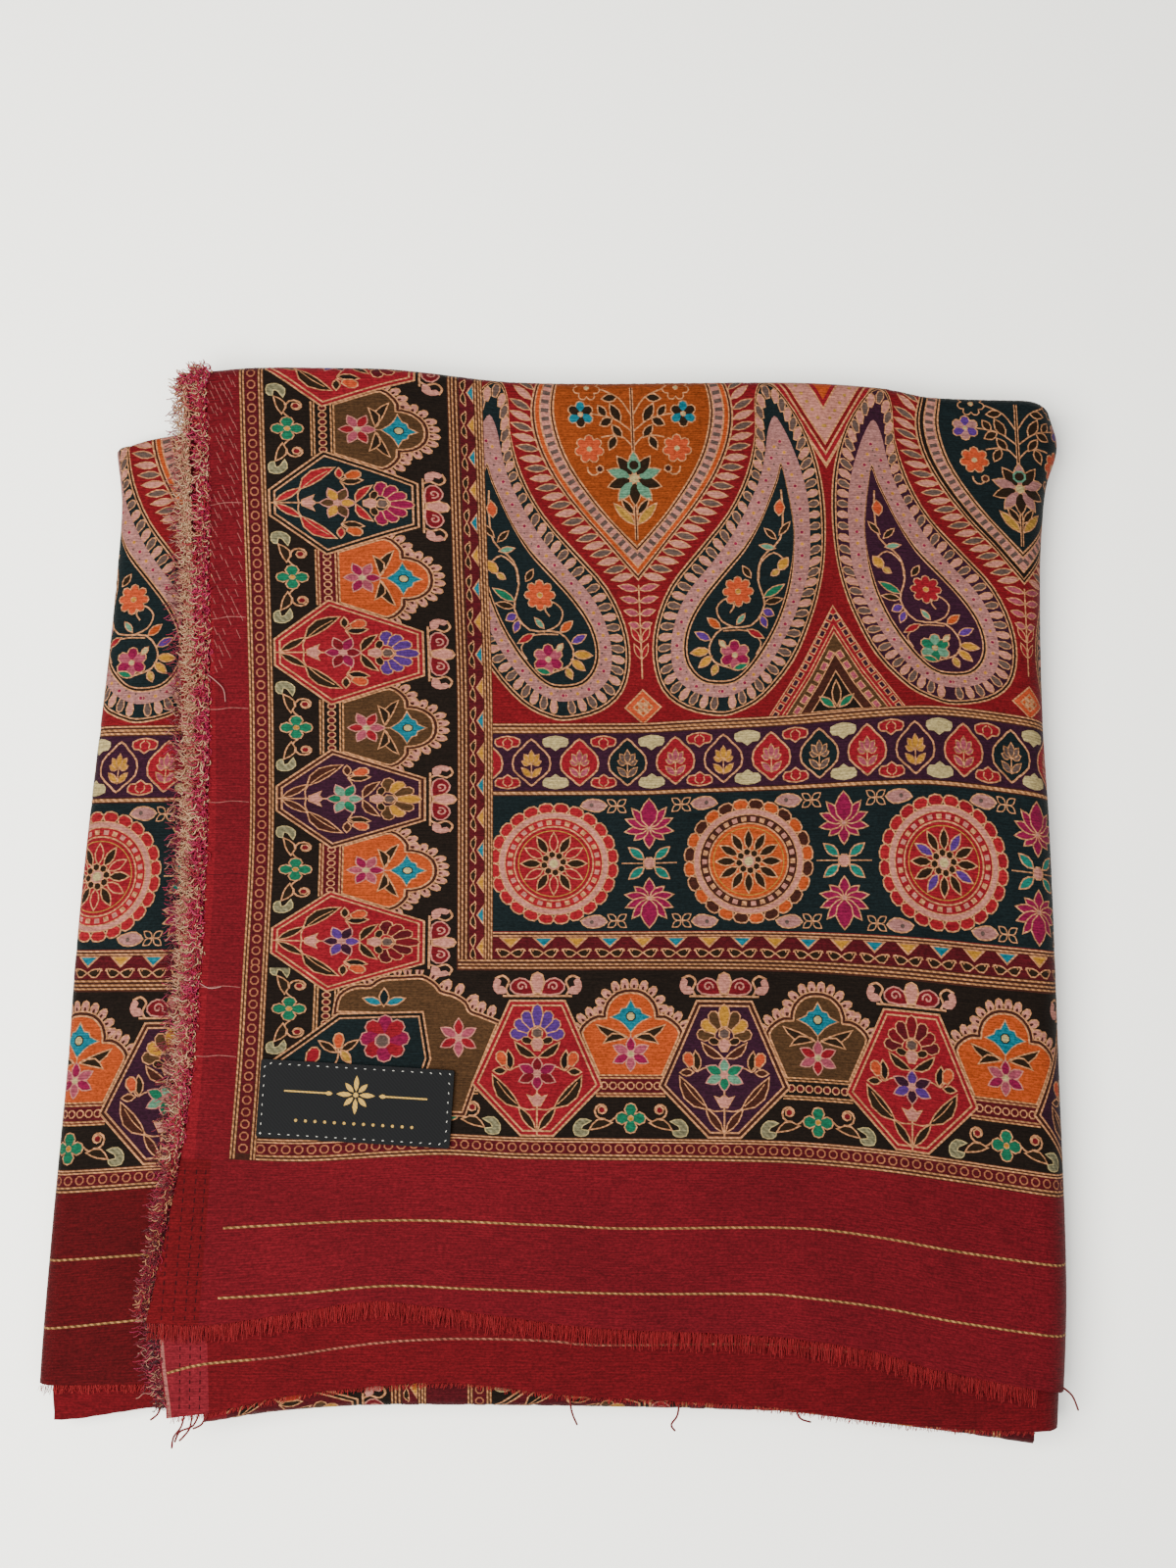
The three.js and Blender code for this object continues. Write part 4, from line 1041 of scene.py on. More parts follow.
def end_fold_pattern():
    """Side borders that run into the fold one beside another, each with a brushed red strip between."""
    shapes = box(-100, -12, 130, 14, "maroon") + box(-100, -12, -72, 14, "satin_red")
    for place in (-96, -22, 52):
        shapes += moved(side_border(90, 130, [MAROON_HEXAGON] * 2, [BROWN_OGEE] * 2), place - 10.9, -111)
    return shapes + box(-100, -12, -84, 14, "satin_red")


# Points nearer to each other than this become one when the cloth is cut into triangles.
NUDGE = 1e-4
# Sides of a painted shape longer than this are split.
LONGEST_SIDE = 2.4


def densified(points):
    """The closed shape with points added along its long sides, so that they follow the drape."""
    ahead = np.roll(points, -1, axis=0)
    counts = np.maximum(np.ceil(np.linalg.norm(ahead - points, axis=1) / LONGEST_SIDE).astype(int), 1)
    return np.concatenate([a + (b - a) * np.arange(n)[:, None] / n
        for a, b, n in zip(points, ahead, counts)])


def overlaps(points, low, high):
    return (points.max(axis=0) > low).all() and (points.min(axis=0) < high).all()


# Only boxes larger than this, in square millimetres, are tried as covers.
HIDING_AREA = 60


def uncovered(shapes):
    """The shapes without those that a later, larger upright box hides."""
    seen, boxes = [], []
    for points, dye in reversed(shapes):
        low, high = points.min(axis=0), points.max(axis=0)
        if any((low >= a).all() and (high <= b).all() for a, b in boxes):
            continue
        seen.append((points, dye))
        area = np.prod(high - low)
        if len(points) == 4 and area > HIDING_AREA and abs(signed_area(points)) > 0.999 * area:
            boxes.append((low, high))
    return seen[::-1]


def triangulated(outline, shapes, grid):
    """Triangles of the outline, each with the number of the last shape that covers it."""
    shapes = uncovered(shapes)
    low, high = outline.min(axis=0), outline.max(axis=0)
    verts, faces, kept = [outline], [list(range(len(outline)))], []
    total = len(outline)
    for points, dye in shapes:
        if not overlaps(points, low, high):
            continue
        points = densified(points)
        verts.append(points if signed_area(points) > 0 else points[::-1])
        faces.append(list(range(total, total + len(points))))
        total += len(points)
        kept.append(dye)
    verts.append(grid)
    out = delaunay_2d_cdt([Vector(p) for p in np.concatenate(verts).tolist()], [], faces, 0, NUDGE, True)
    triangles, owners = [], []
    for triangle, ids in zip(out[2], out[5]):
        if 0 in ids and len(triangle) == 3:
            triangles.append(triangle)
            owners.append(max(ids))
    return np.array([tuple(p) for p in out[0]]), np.array(triangles), np.array(owners), kept


def rim_loop(triangles):
    """The border vertices of a triangle mesh, in order."""
    edges = np.concatenate([triangles[:, [0, 1]], triangles[:, [1, 2]], triangles[:, [2, 0]]])
    known = {tuple(pair) for pair in edges.tolist()}
    ahead = {a: b for a, b in known if (b, a) not in known}
    start = next(iter(ahead))
    loop = [start]
    while ahead[loop[-1]] != start:
        loop.append(ahead[loop[-1]])
    return loop


def srgb(hex_value):
    """Linear colour from an sRGB hex value."""
    parts = [int(hex_value[i:i + 2], 16) / 255 for i in (0, 2, 4)]
    return tuple(c / 12.92 if c <= 0.04045 else ((c + 0.055) / 1.055) ** 2.4 for c in parts)


# Under this light the cloth and the yarn need their dyes at these shares of the colour that the eye reads.
DYE_DEPTH = 0.36
YARN_DEPTH = 0.45


def dye_value(name):
    """A dye as linear colour, and how much its thread is twisted with dark."""
    colour, twist = DYES[name]
    return (*(c * DYE_DEPTH for c in srgb(colour)), twist)


def yarn_colour(hex_value):
    return (*(c * YARN_DEPTH for c in srgb(hex_value)), 1)


def surface_normals(place, uv):
    """Which way the draped cloth faces, from how its place changes a little way along u and v."""
    step = 0.2
    du = place(uv + (step, 0)) - place(uv - (step, 0))
    dv = place(uv + (0, step)) - place(uv - (0, step))
    normal = np.cross(du, dv)
    return normal / np.maximum(np.linalg.norm(normal, axis=1, keepdims=True), 1e-9)


def linked(name, data):
    """A new object in the scene, made of the given data."""
    obj = bpy.data.objects.new(name, data)
    bpy.context.scene.collection.objects.link(obj)
    return obj


def mesh_object(name, verts, faces, uv=None, colours=None, normals=None, bake=None):
    """A mesh from points in millimetres, triangles, and a flat coordinate and a dye for each corner."""
    mesh = bpy.data.meshes.new(name)
    mesh.vertices.add(len(verts))
    mesh.vertices.foreach_set("co", (np.asarray(verts) * MM).astype(np.float32).ravel())
    flat = np.asarray(faces, dtype=np.int32).ravel()
    mesh.loops.add(len(flat))
    mesh.loops.foreach_set("vertex_index", flat)
    mesh.polygons.add(len(faces))
    mesh.polygons.foreach_set("loop_start", np.arange(0, len(flat), 3, dtype=np.int32))
    mesh.polygons.foreach_set("use_smooth", np.ones(len(faces), dtype=bool))
    for map_name, values in (("cloth_mm", uv), ("OFBake", bake)):
        if values is not None:
            layer = mesh.uv_layers.new(name=map_name)
            layer.data.foreach_set("uv", np.asarray(values, dtype=np.float32).ravel())
    if colours is not None:
        layer = mesh.color_attributes.new("dye", "FLOAT_COLOR", "CORNER")
        layer.data.foreach_set("color", np.asarray(colours, dtype=np.float32).ravel())
    mesh.update(calc_edges=True)
    mesh.validate()
    if normals is not None:
        mesh.normals_split_custom_set_from_vertices(np.asarray(normals, dtype=np.float32))
    return linked(name, mesh)


def grid_points(us, vs):
    u, v = np.meshgrid(us, vs)
    return np.stack([u.ravel(), v.ravel()], axis=1)


def spread(points, low, high):
    """Flat points moved and scaled to fill part of the unit square."""
    return np.array(low) + (points - points.min(axis=0)) / np.ptp(points, axis=0) * np.subtract(high, low)


def cloth_piece(name, outline, shapes, place, us, vs, back_dye, thickness=CLOTH):
    """A closed thin shell of cloth: the painted face in front, plain cloth behind, a rim between."""
    low, high = outline.min(axis=0) + 0.3, outline.max(axis=0) - 0.3
    inside = lambda grid: grid[((grid > low) & (grid < high)).all(axis=1)]
    uv, triangles, owners, kept = triangulated(outline, shapes, inside(grid_points(us, vs)))
    used = np.unique(triangles)
    uv, triangles = uv[used], np.searchsorted(used, triangles)
    loop = rim_loop(triangles)
    front, normals = place(uv), surface_normals(place, uv)
    coarse = inside(grid_points(us[::2], vs[::2]))
    back_uv, back_triangles, _, _ = triangulated(uv[loop], [], coarse)
    back = place(back_uv) - surface_normals(place, back_uv) * thickness
    offset = len(front)
    nearest = {tuple(np.round(p, 4)): i for i, p in enumerate(back_uv)}
    partner = [nearest[tuple(np.round(uv[i], 4))] + offset for i in loop]
    rim, rim_bake = [], []
    for i, a in enumerate(loop):
        j = (i + 1) % len(loop)
        b, a2, b2 = loop[j], partner[i], partner[j]
        rim += [(b, a, a2), (b, a2, b2)]
        here, ahead = 0.01 + 0.98 * i / len(loop), 0.01 + 0.98 * (i + 1) / len(loop)
        rim_bake += [(ahead, 0.016), (here, 0.016), (here, 0.004), (ahead, 0.016), (here, 0.004),
            (ahead, 0.004)]
    faces = np.concatenate([triangles, back_triangles[:, ::-1] + offset, np.array(rim)])
    verts = np.concatenate([front, back])
    flat_uv = np.concatenate([uv, back_uv])
    dyes = np.array([dye_value(dye) for dye in [back_dye] + kept])
    face_dyes = np.concatenate([dyes[owners], np.tile(dyes[:1], (len(back_triangles) + len(rim), 1))])
    vertex_normals = np.concatenate([normals, -surface_normals(place, back_uv)])
    front_bake = spread(uv, (0.006, 0.03), (0.8, 0.994))
    back_bake = spread(back_uv, (0.815, 0.03), (0.994, 0.994))
    bake = np.concatenate([front_bake[triangles.ravel()], back_bake[back_triangles[:, ::-1].ravel()],
        rim_bake])
    return mesh_object(name, verts, faces, flat_uv[faces.ravel()], np.repeat(face_dyes, 3, axis=0),
        vertex_normals, bake)


def add_node(tree, kind, settings=None, links=None, **values):
    """Adds a shader or geometry node, sets its properties and inputs, and links what it reads."""
    node = tree.nodes.new(kind)
    for key, value in (settings or {}).items():
        setattr(node, key, value)
    for key, value in values.items():
        node.inputs[key.replace("_", " ")].default_value = value
    for key, source in (links or {}).items():
        tree.links.new(source, node.inputs[key])
    return node


def new_material(name):
    material = bpy.data.materials.new(name)
    material.use_nodes = True
    material.node_tree.nodes.clear()
    return material, material.node_tree


# A wave texture of this scale has its bands 1 mm apart on the cloth's own millimetre map.
BAND = 0.314


# Worsted-spun pashmina in a fine twill, wefts floated for the pattern: matt, with a soft sheen where
# the brushed fibre ends catch the light, and a thread-fine broken texture in every colour.
def kani_cloth():
    material, tree = new_material("kani_twill_pashmina")
    dye = add_node(tree, "ShaderNodeAttribute", {"attribute_name": "dye"})
    flat = {"Vector": add_node(tree, "ShaderNodeUVMap", {"uv_map": "cloth_mm"}).outputs["UV"]}
    # Real threads lie 0.25 mm apart. So that they show, their slubs are drawn 0.9 mm by 0.5 mm, their
    # ribs 0.62 mm apart and the two-colour twist 0.85 mm apart.
    threads = add_node(tree, "ShaderNodeMapping", links=flat, Scale=(1 / 0.9, 1 / 0.5, 1))
    slub = add_node(tree, "ShaderNodeTexNoise", {"noise_dimensions": "2D"},
        {"Vector": threads.outputs[0]}, Scale=1.0, Detail=2.0, Roughness=0.7)
    ribs = add_node(tree, "ShaderNodeTexWave", {"bands_direction": "Y"}, flat, Scale=BAND / 0.62,
        Distortion=0.6, Detail=1.0, Detail_Scale=2.0)
    twist = add_node(tree, "ShaderNodeTexWave", {"bands_direction": "DIAGONAL"}, flat, Scale=BAND / 0.85,
        Distortion=0.3)
    gate = add_node(tree, "ShaderNodeMapRange", links={"Value": twist.outputs[1]}, From_Min=0.35,
        From_Max=0.6)
    dark = add_node(tree, "ShaderNodeMath", {"operation": "MULTIPLY"},
        {0: gate.outputs[0], 1: dye.outputs["Alpha"]})
    wear = add_node(tree, "ShaderNodeTexNoise", {"noise_dimensions": "2D"}, flat, Scale=0.035, Detail=2.0)
    # Each weft floats over a few millimetres before it goes under, drawn as streaks 5 mm by 0.45 mm.
    floats = add_node(tree, "ShaderNodeMapping", links=flat, Scale=(1 / 5.0, 1 / 0.45, 1))
    streaks = add_node(tree, "ShaderNodeTexNoise", {"noise_dimensions": "2D"},
        {"Vector": floats.outputs[0]}, Scale=1.0, Detail=1.0)
    shades = ((slub.outputs[0], 0.3, 0.7, 0.62, 1.22), (ribs.outputs[1], 0, 1, 0.86, 1.06),
        (dark.outputs[0], 0, 1, 1.0, 0.35), (wear.outputs[0], 0.3, 0.7, 0.9, 1.08),
        (streaks.outputs[0], 0.3, 0.7, 0.78, 1.16))
    level = add_node(tree, "ShaderNodeValue")
    level.outputs[0].default_value = 1.0
    for source, low, high, dimmest, brightest in shades:
        shade = add_node(tree, "ShaderNodeMapRange", links={"Value": source}, From_Min=low, From_Max=high,
            To_Min=dimmest, To_Max=brightest)
        level = add_node(tree, "ShaderNodeMath", {"operation": "MULTIPLY"},
            {0: level.outputs[0], 1: shade.outputs[0]})
    colour = add_node(tree, "ShaderNodeVectorMath", {"operation": "SCALE"},
        {"Vector": dye.outputs["Color"], "Scale": level.outputs[0]})
    bump = add_node(tree, "ShaderNodeBump", links={"Height": ribs.outputs[1]}, Strength=0.35,
        Distance=0.00015)
    grain = add_node(tree, "ShaderNodeBump", links={"Height": slub.outputs[0], "Normal": bump.outputs[0]},
        Strength=0.5, Distance=0.0002)
    shader = add_node(tree, "ShaderNodeBsdfPrincipled",
        links={"Base Color": colour.outputs[0], "Normal": grain.outputs[0]}, Roughness=0.85,
        Sheen_Weight=0.04, Sheen_Roughness=0.4, Specular_IOR_Level=0.05)
    add_node(tree, "ShaderNodeOutputMaterial", links={"Surface": shader.outputs[0]})
    return material


# Label woven in black satin: smooth and close, with a low even gloss and a faint slanting grain.
def label_satin():
    material, tree = new_material("black_woven_satin")
    dye = add_node(tree, "ShaderNodeAttribute", {"attribute_name": "dye"})
    flat = add_node(tree, "ShaderNodeUVMap", {"uv_map": "cloth_mm"})
    # Satin floats lie 0.15 mm apart, drawn here as ribs of 0.5 mm.
    ribs = add_node(tree, "ShaderNodeTexWave", {"bands_direction": "DIAGONAL"},
        {"Vector": flat.outputs["UV"]}, Scale=BAND / 0.5, Distortion=0.4)
    dust = add_node(tree, "ShaderNodeTexNoise", {"noise_dimensions": "2D"},
        {"Vector": flat.outputs["UV"]}, Scale=2.5, Detail=3.0)
    mixed = add_node(tree, "ShaderNodeMath", {"operation": "ADD"}, {0: ribs.outputs[1], 1: dust.outputs[0]})
    shade = add_node(tree, "ShaderNodeMapRange", links={"Value": mixed.outputs[0]}, From_Max=2.0,
        To_Min=0.7, To_Max=1.35)
    colour = add_node(tree, "ShaderNodeVectorMath", {"operation": "SCALE"},
        {"Vector": dye.outputs["Color"], "Scale": shade.outputs[0]})
    bump = add_node(tree, "ShaderNodeBump", links={"Height": ribs.outputs[1]}, Strength=0.3, Distance=0.0001)
    shader = add_node(tree, "ShaderNodeBsdfPrincipled",
        links={"Base Color": colour.outputs[0], "Normal": bump.outputs[0]}, Roughness=0.65,
        Specular_IOR_Level=0.05)
    add_node(tree, "ShaderNodeOutputMaterial", links={"Surface": shader.outputs[0]})
    return material


# Polyester sewing thread, pale and slightly glossy.
def sewing_thread():
    material, tree = new_material("pale_polyester_thread")
    shader = add_node(tree, "ShaderNodeBsdfPrincipled", Roughness=0.5, Base_Color=(*srgb("a9a7a0"), 1))
    add_node(tree, "ShaderNodeOutputMaterial", links={"Surface": shader.outputs[0]})
    return material


# Matt paper, bright and even, that shows the cloth's soft shadow.
def plain_floor():
    material, tree = new_material("matt_white_paper")
    shader = add_node(tree, "ShaderNodeBsdfPrincipled", Roughness=0.7, Base_Color=(*srgb("f8f8f5"), 1))
    add_node(tree, "ShaderNodeOutputMaterial", links={"Surface": shader.outputs[0]})
    return material


def edge(table, shift=0.0):
    """A side or end edge as a function: the curve through a table, moved by shift."""
    return lambda at: along(table, at) + shift


def fixed(value):
    """A straight edge, the same all along."""
    return lambda at: value + 0 * at


def corner_of(x_of, y_of):
    """Where a side edge, x as a function of y, meets an end edge, y as a function of x."""
    x, y = 0.0, 0.0
    for _ in range(8):
        x = float(x_of(y))
        y = float(y_of(x))
    return x, y


def stretch_outline(left, right, near, far, step=2.0, fray=0.0):
    """The closed outline of a stretch of cloth between four edges, anticlockwise from its near left."""
    near_left, near_right = corner_of(left, near), corner_of(right, near)
    far_right, far_left = corner_of(right, far), corner_of(left, far)
    share = lambda a, b: np.linspace(a, b, max(2, int(abs(b - a) / step)), endpoint=False)
    sides = []
    for start, end, x_of, y_of in ((near_left, near_right, None, near),
            (near_right, far_right, right, None), (far_right, far_left, None, far),
            (far_left, near_left, left, None)):
        if x_of is None:
            x = share(start[0], end[0])
            sides.append(np.stack([x, y_of(x)], axis=1))
        else:
            y = share(start[1], end[1])
            sides.append(np.stack([x_of(y), y], axis=1))
    outline = np.concatenate(sides)
    return outline + RNG.uniform(-fray, fray, outline.shape)


def flattened(to_table, points):
    """The flat coordinates of points on the table, found by stepping closer."""
    flat = points + TOP_SHIFT
    for _ in range(6 * ROUNDS):
        flat = flat + points - np.stack(to_table(flat[:, 0], flat[:, 1]), axis=1)
    return flat


def top_outline():
    right = lambda y: right_fold(np.clip(y, *SIDE_SPAN)) - RIGHT_RADIUS + math.pi * RIGHT_RADIUS
    outline = stretch_outline(edge(SELVEDGE), right, edge(RAW_END), edge(FAR_FOLD, FAR_LIP * 0.55),
        fray=0.12)
    return flattened(on_table, outline)


def reverse_outline():
    right = lambda y: along(RIGHT_FOLD, y) - RIGHT_RADIUS + math.pi * (RIGHT_RADIUS - WALL - GAP)
    return stretch_outline(edge(REVERSE_SELVEDGE), right, edge(REVERSE_END), edge(FAR_FOLD, -3.5), fray=0.12)


def column_outline():
    left = lambda y: along(LEFT_FOLD, y) + LEFT_RADIUS - math.pi * LEFT_RADIUS
    far = edge(LOWER_FAR, COLUMN_LIP * 0.5)
    outline = stretch_outline(left, fixed(COLUMN_TUCK), edge(COLUMN_END), far, fray=0.1)
    return flattened(column_on_table, outline)


def column_reverse_outline():
    return stretch_outline(edge(LEFT_FOLD, 4.2), fixed(COLUMN_TUCK), edge(COLUMN_REVERSE_END),
        edge(LOWER_FAR, -4), fray=0.1)


def underside_outline():
    left = lambda y: -(along(RIGHT_FOLD, y) - RIGHT_RADIUS - 0.8)
    right = lambda y: -(along(LEFT_FOLD, y) + LEFT_RADIUS + 0.8)
    return stretch_outline(left, right, lambda x: along(LOWER_NEAR, -x) + 1.5,
        lambda x: along(LOWER_FAR, -x) - 2)


def end_fold_outline():
    return stretch_outline(fixed(-90), fixed(124), fixed(-7.9), fixed(9.2))


def reverse_pattern():
    """The wrong side is plain but for one stripe, which shows just past the end of the top ply."""
    line = smooth(REVERSE_STRIPE, 3)
    shapes = box(-110, -150, 170, 150, "wrong_red")
    shapes += [(rows((-110, -150), (-87.5, -150), (-89.5, -100), (-110, -100)), "silk_red")]
    y = np.linspace(-134, -104, 14)
    shapes += ribbon(np.column_stack([along(REVERSE_SELVEDGE, y) + 0.8, y]), 0.9, "pulled")
    for x in (-96.0, -93.4, -90.8):
        for y in np.arange(-131, -108, 2.1):
            shapes += box(x, y, x + 0.3, y + 1.1, "dash")
    return shapes + ribbon(line[:6], 0.6, "stripe") + ribbon(line[5:], 0.55, "faint_stripe")


def finished(obj, material, slot, *nodes):
    obj.data.materials.append(material)
    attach(obj, "root")
    if nodes:
        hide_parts(*nodes)
    return obj


def lines_for(low, high, step, fine_from=None, fine_step=None):
    """Grid lines of a stretch, closer together where it turns over a fold."""
    if fine_from is None:
        return np.arange(low, high, step)
    return np.concatenate([np.arange(low, fine_from, step), np.arange(fine_from, high, fine_step)])


LAYERS = {
    # Left edge, distance inside the right fold, near and far edges with their insets, low, high, folds.
    "bottom": (edge(LEFT_FOLD, 3.4), 9.0, LOWER_NEAR, 0.5, LOWER_FAR, 3.0, 1.3, 3.6, 2),
    "lower": (edge(LEFT_FOLD, 3.4), 4.6, LOWER_NEAR, 0.0, LOWER_FAR, 2.2, 3.6, 5.7, 2),
    "middle": (fixed(COLUMN_TUCK + 4), 3.6, LOWER_NEAR, 5.0, LOWER_FAR, 4.0, 5.7, 8.9, 2),
    "inner": (edge(INNER_SELVEDGE), 3.6, END_FOLD, 3.4, FAR_FOLD, 1.2, 8.9, 12.1, 3),
    "upper": (edge(REVERSE_SELVEDGE, 0.8), 7.4, END_FOLD, 12.3, FAR_FOLD, 3.2, 12.1, 13.9, 2),
}
EDGE_DYES = ["crimson", "crimson", "black", "maroon", "purple", "teal_ground", "rope", "ruby", "bark",
    "pink", "crimson", "black"]


def rolled_layer(name, left, inside, near, near_inset, far, far_inset, low, high, folds):
    """Plies folded back on themselves: a slab whose rim is a row of half-round folds, one over another."""
    outline = stretch_outline(left, edge(RIGHT_FOLD, -inside), edge(near, near_inset),
        edge(far, -far_inset), step=3.5)
    radius = (high - low) / folds / 2
    around = np.arange(len(outline)) * math.tau / len(outline)
    rings = []
    for fold in range(folds):
        centre = low + radius * (2 * fold + 1)
        drawn_in = 0.35 + 0.35 * np.sin(around * 5 + 2.1 * fold) + 0.2 * np.sin(around * 13 + fold)
        for degrees in (-80, -45, 0, 45, 80):
            angle = math.radians(degrees)
            inset = (radius * (1 - math.cos(angle)) + drawn_in)[:, None]
            rings.append((grown(outline, -inset), centre + radius * math.sin(angle)))
    rise = 1.0 if low > 12 else 0.0
    level = lambda xy, z: np.column_stack([xy, z + rise * waves(TOP_WAVES, *xy.T)])
    verts = [level(xy, z) for xy, z in rings]
    count, faces, dyes = len(outline), [], []
    crimson = dye_value("crimson")
    for ring in range(len(rings) - 1):
        picks = RNG.integers(0, len(EDGE_DYES), count // 2 + 1)
        for i in range(count):
            a, b = ring * count + i, ring * count + (i + 1) % count
            faces += [(a, b, b + count), (a, b + count, a + count)]
            dyes += [dye_value(EDGE_DYES[picks[i // 2]])] * 2
    caps = []
    for ring, flip in ((0, True), (len(rings) - 1, False)):
        grid = grid_points(np.arange(-130, 130, 8.0), np.arange(-135, 138, 8.0))
        uv, triangles, _, _ = triangulated(rings[ring][0], [], grid)
        uv_index = {tuple(np.round(p, 3)): i for i, p in enumerate(rings[ring][0])}
        base = sum(len(v) for v in verts)
        verts.append(level(uv, rings[ring][1]))
        mapped = np.array([ring * count + uv_index[key] if (key := tuple(np.round(p, 3))) in uv_index
            else base + i for i, p in enumerate(uv)])
        triangles = mapped[triangles]
        caps.append(triangles[:, ::-1] if flip else triangles)
    faces = np.concatenate([np.array(faces)] + caps)
    dyes = np.array(dyes + [crimson] * sum(len(c) for c in caps))
    verts = np.concatenate(verts)
    flat = verts[faces.ravel()][:, :2] + verts[faces.ravel()][:, 2:] * 1.4
    return mesh_object("folds_" + name, verts, faces, flat, np.repeat(dyes, 3, axis=0)), outline


def declare_cloth(obj, outline, rests_on, with_pieces=(), held="folded"):
    """Works out the flat width and length of a stretch of cloth's cut."""
    width, length = np.ptp(outline, axis=0) * MM
    list(with_pieces)
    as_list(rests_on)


# Loose pashmina yarn, softly twisted and frayed out of the weave: thin, curly and a little shiny.
def frayed_yarn():
    material, tree = new_material("frayed_pashmina_yarn")
    dye = add_node(tree, "ShaderNodeAttribute", {"attribute_name": "dye"})
    shader = add_node(tree, "ShaderNodeBsdfPrincipled", links={"Base Color": dye.outputs["Color"]},
        Roughness=0.7, Sheen_Weight=0.05, Sheen_Roughness=0.4, Specular_IOR_Level=0.1)
    add_node(tree, "ShaderNodeOutputMaterial", links={"Surface": shader.outputs[0]})
    return material


def new_tree(name, inputs):
    """An empty geometry tree with a line and the named inputs, and the identifier of each input."""
    tree = bpy.data.node_groups.new(name, "GeometryNodeTree")
    sockets = {}
    for label, kind in (("Edge", "Geometry"), *inputs):
        socket = tree.interface.new_socket(label, in_out="INPUT", socket_type="NodeSocket" + kind)
        sockets[label] = socket.identifier
    tree.interface.new_socket("Made", in_out="OUTPUT", socket_type="NodeSocketGeometry")
    return tree, sockets, add_node(tree, "NodeGroupInput").outputs


def yarn_tree(name, dyes, material):
    """Yarn ends along an edge: each a short spiral of yarn, scattered, leant and dyed at random."""
    tree, sockets, given = new_tree(name, (
        ("Count", "Int"), ("Seed", "Int"), ("Length", "Float"), ("Curl", "Float"), ("Turns", "Float"),
        ("Thickness", "Float"), ("Scatter", "Vector"), ("Heading", "Vector"), ("Lean", "Vector")))
    line = add_node(tree, "GeometryNodeMeshToCurve", links={"Mesh": given["Edge"]})
    roots = add_node(tree, "GeometryNodeCurveToPoints", {"mode": "COUNT"},
        {"Curve": line.outputs[0], "Count": given["Count"]})
    minus = add_node(tree, "ShaderNodeVectorMath", {"operation": "SCALE"}, {"Vector": given["Scatter"]},
        Scale=-1.0)
    shift = add_node(tree, "FunctionNodeRandomValue", {"data_type": "FLOAT_VECTOR"},
        {0: minus.outputs[0], 1: given["Scatter"], "Seed": given["Seed"]})
    scattered = add_node(tree, "GeometryNodeSetPosition",
        links={"Geometry": roots.outputs[0], "Offset": shift.outputs[0]})
    spiral = add_node(tree, "GeometryNodeCurveSpiral",
        links={"Rotations": given["Turns"], "Start Radius": given["Curl"], "Height": given["Length"]},
        Resolution=8, End_Radius=0.0001)
    round_section = add_node(tree, "GeometryNodeCurvePrimitiveCircle",
        links={"Radius": given["Thickness"]}, Resolution=3)
    yarn = add_node(tree, "GeometryNodeCurveToMesh",
        links={"Curve": spiral.outputs[0], "Profile Curve": round_section.outputs[0]}, Fill_Caps=True)
    low = add_node(tree, "ShaderNodeVectorMath", {"operation": "SUBTRACT"},
        {0: given["Heading"], 1: given["Lean"]})
    high = add_node(tree, "ShaderNodeVectorMath", {"operation": "ADD"},
        {0: given["Heading"], 1: given["Lean"]})
    other_seed = add_node(tree, "ShaderNodeMath", {"operation": "ADD"}, {0: given["Seed"]})
    other_seed.inputs[1].default_value = 17
    turn = add_node(tree, "FunctionNodeRandomValue", {"data_type": "FLOAT_VECTOR"},
        {0: low.outputs[0], 1: high.outputs[0], "Seed": other_seed.outputs[0]})
    size = add_node(tree, "FunctionNodeRandomValue", {"data_type": "FLOAT"}, {"Seed": given["Seed"]})
    size.inputs[2].default_value = 0.45
    size.inputs[3].default_value = 1.1
    placed = add_node(tree, "GeometryNodeInstanceOnPoints",
        links={"Points": scattered.outputs[0], "Instance": yarn.outputs[0], "Rotation": turn.outputs[0],
        "Scale": size.outputs[1]})
    pick = add_node(tree, "FunctionNodeRandomValue", {"data_type": "FLOAT"}, {"Seed": other_seed.outputs[0]})
    ramp = add_node(tree, "ShaderNodeValToRGB", links={0: pick.outputs[1]})
    ramp.color_ramp.interpolation = "CONSTANT"
    while len(ramp.color_ramp.elements) < len(dyes):
        ramp.color_ramp.elements.new(0.99)
    for i, dye in enumerate(dyes):
        ramp.color_ramp.elements[i].position = i / len(dyes)
        ramp.color_ramp.elements[i].color = yarn_colour(dye)
    dyed = add_node(tree, "GeometryNodeStoreNamedAttribute",
        {"data_type": "FLOAT_COLOR", "domain": "INSTANCE"},
        {"Geometry": placed.outputs[0], "Value": ramp.outputs[0]}, Name="dye")
    real = add_node(tree, "GeometryNodeRealizeInstances", links={0: dyed.outputs[0]})
    coated = add_node(tree, "GeometryNodeSetMaterial", links={"Geometry": real.outputs[0]},
        Material=material)
    add_node(tree, "NodeGroupOutput", links={0: coated.outputs[0]})
    return tree, sockets


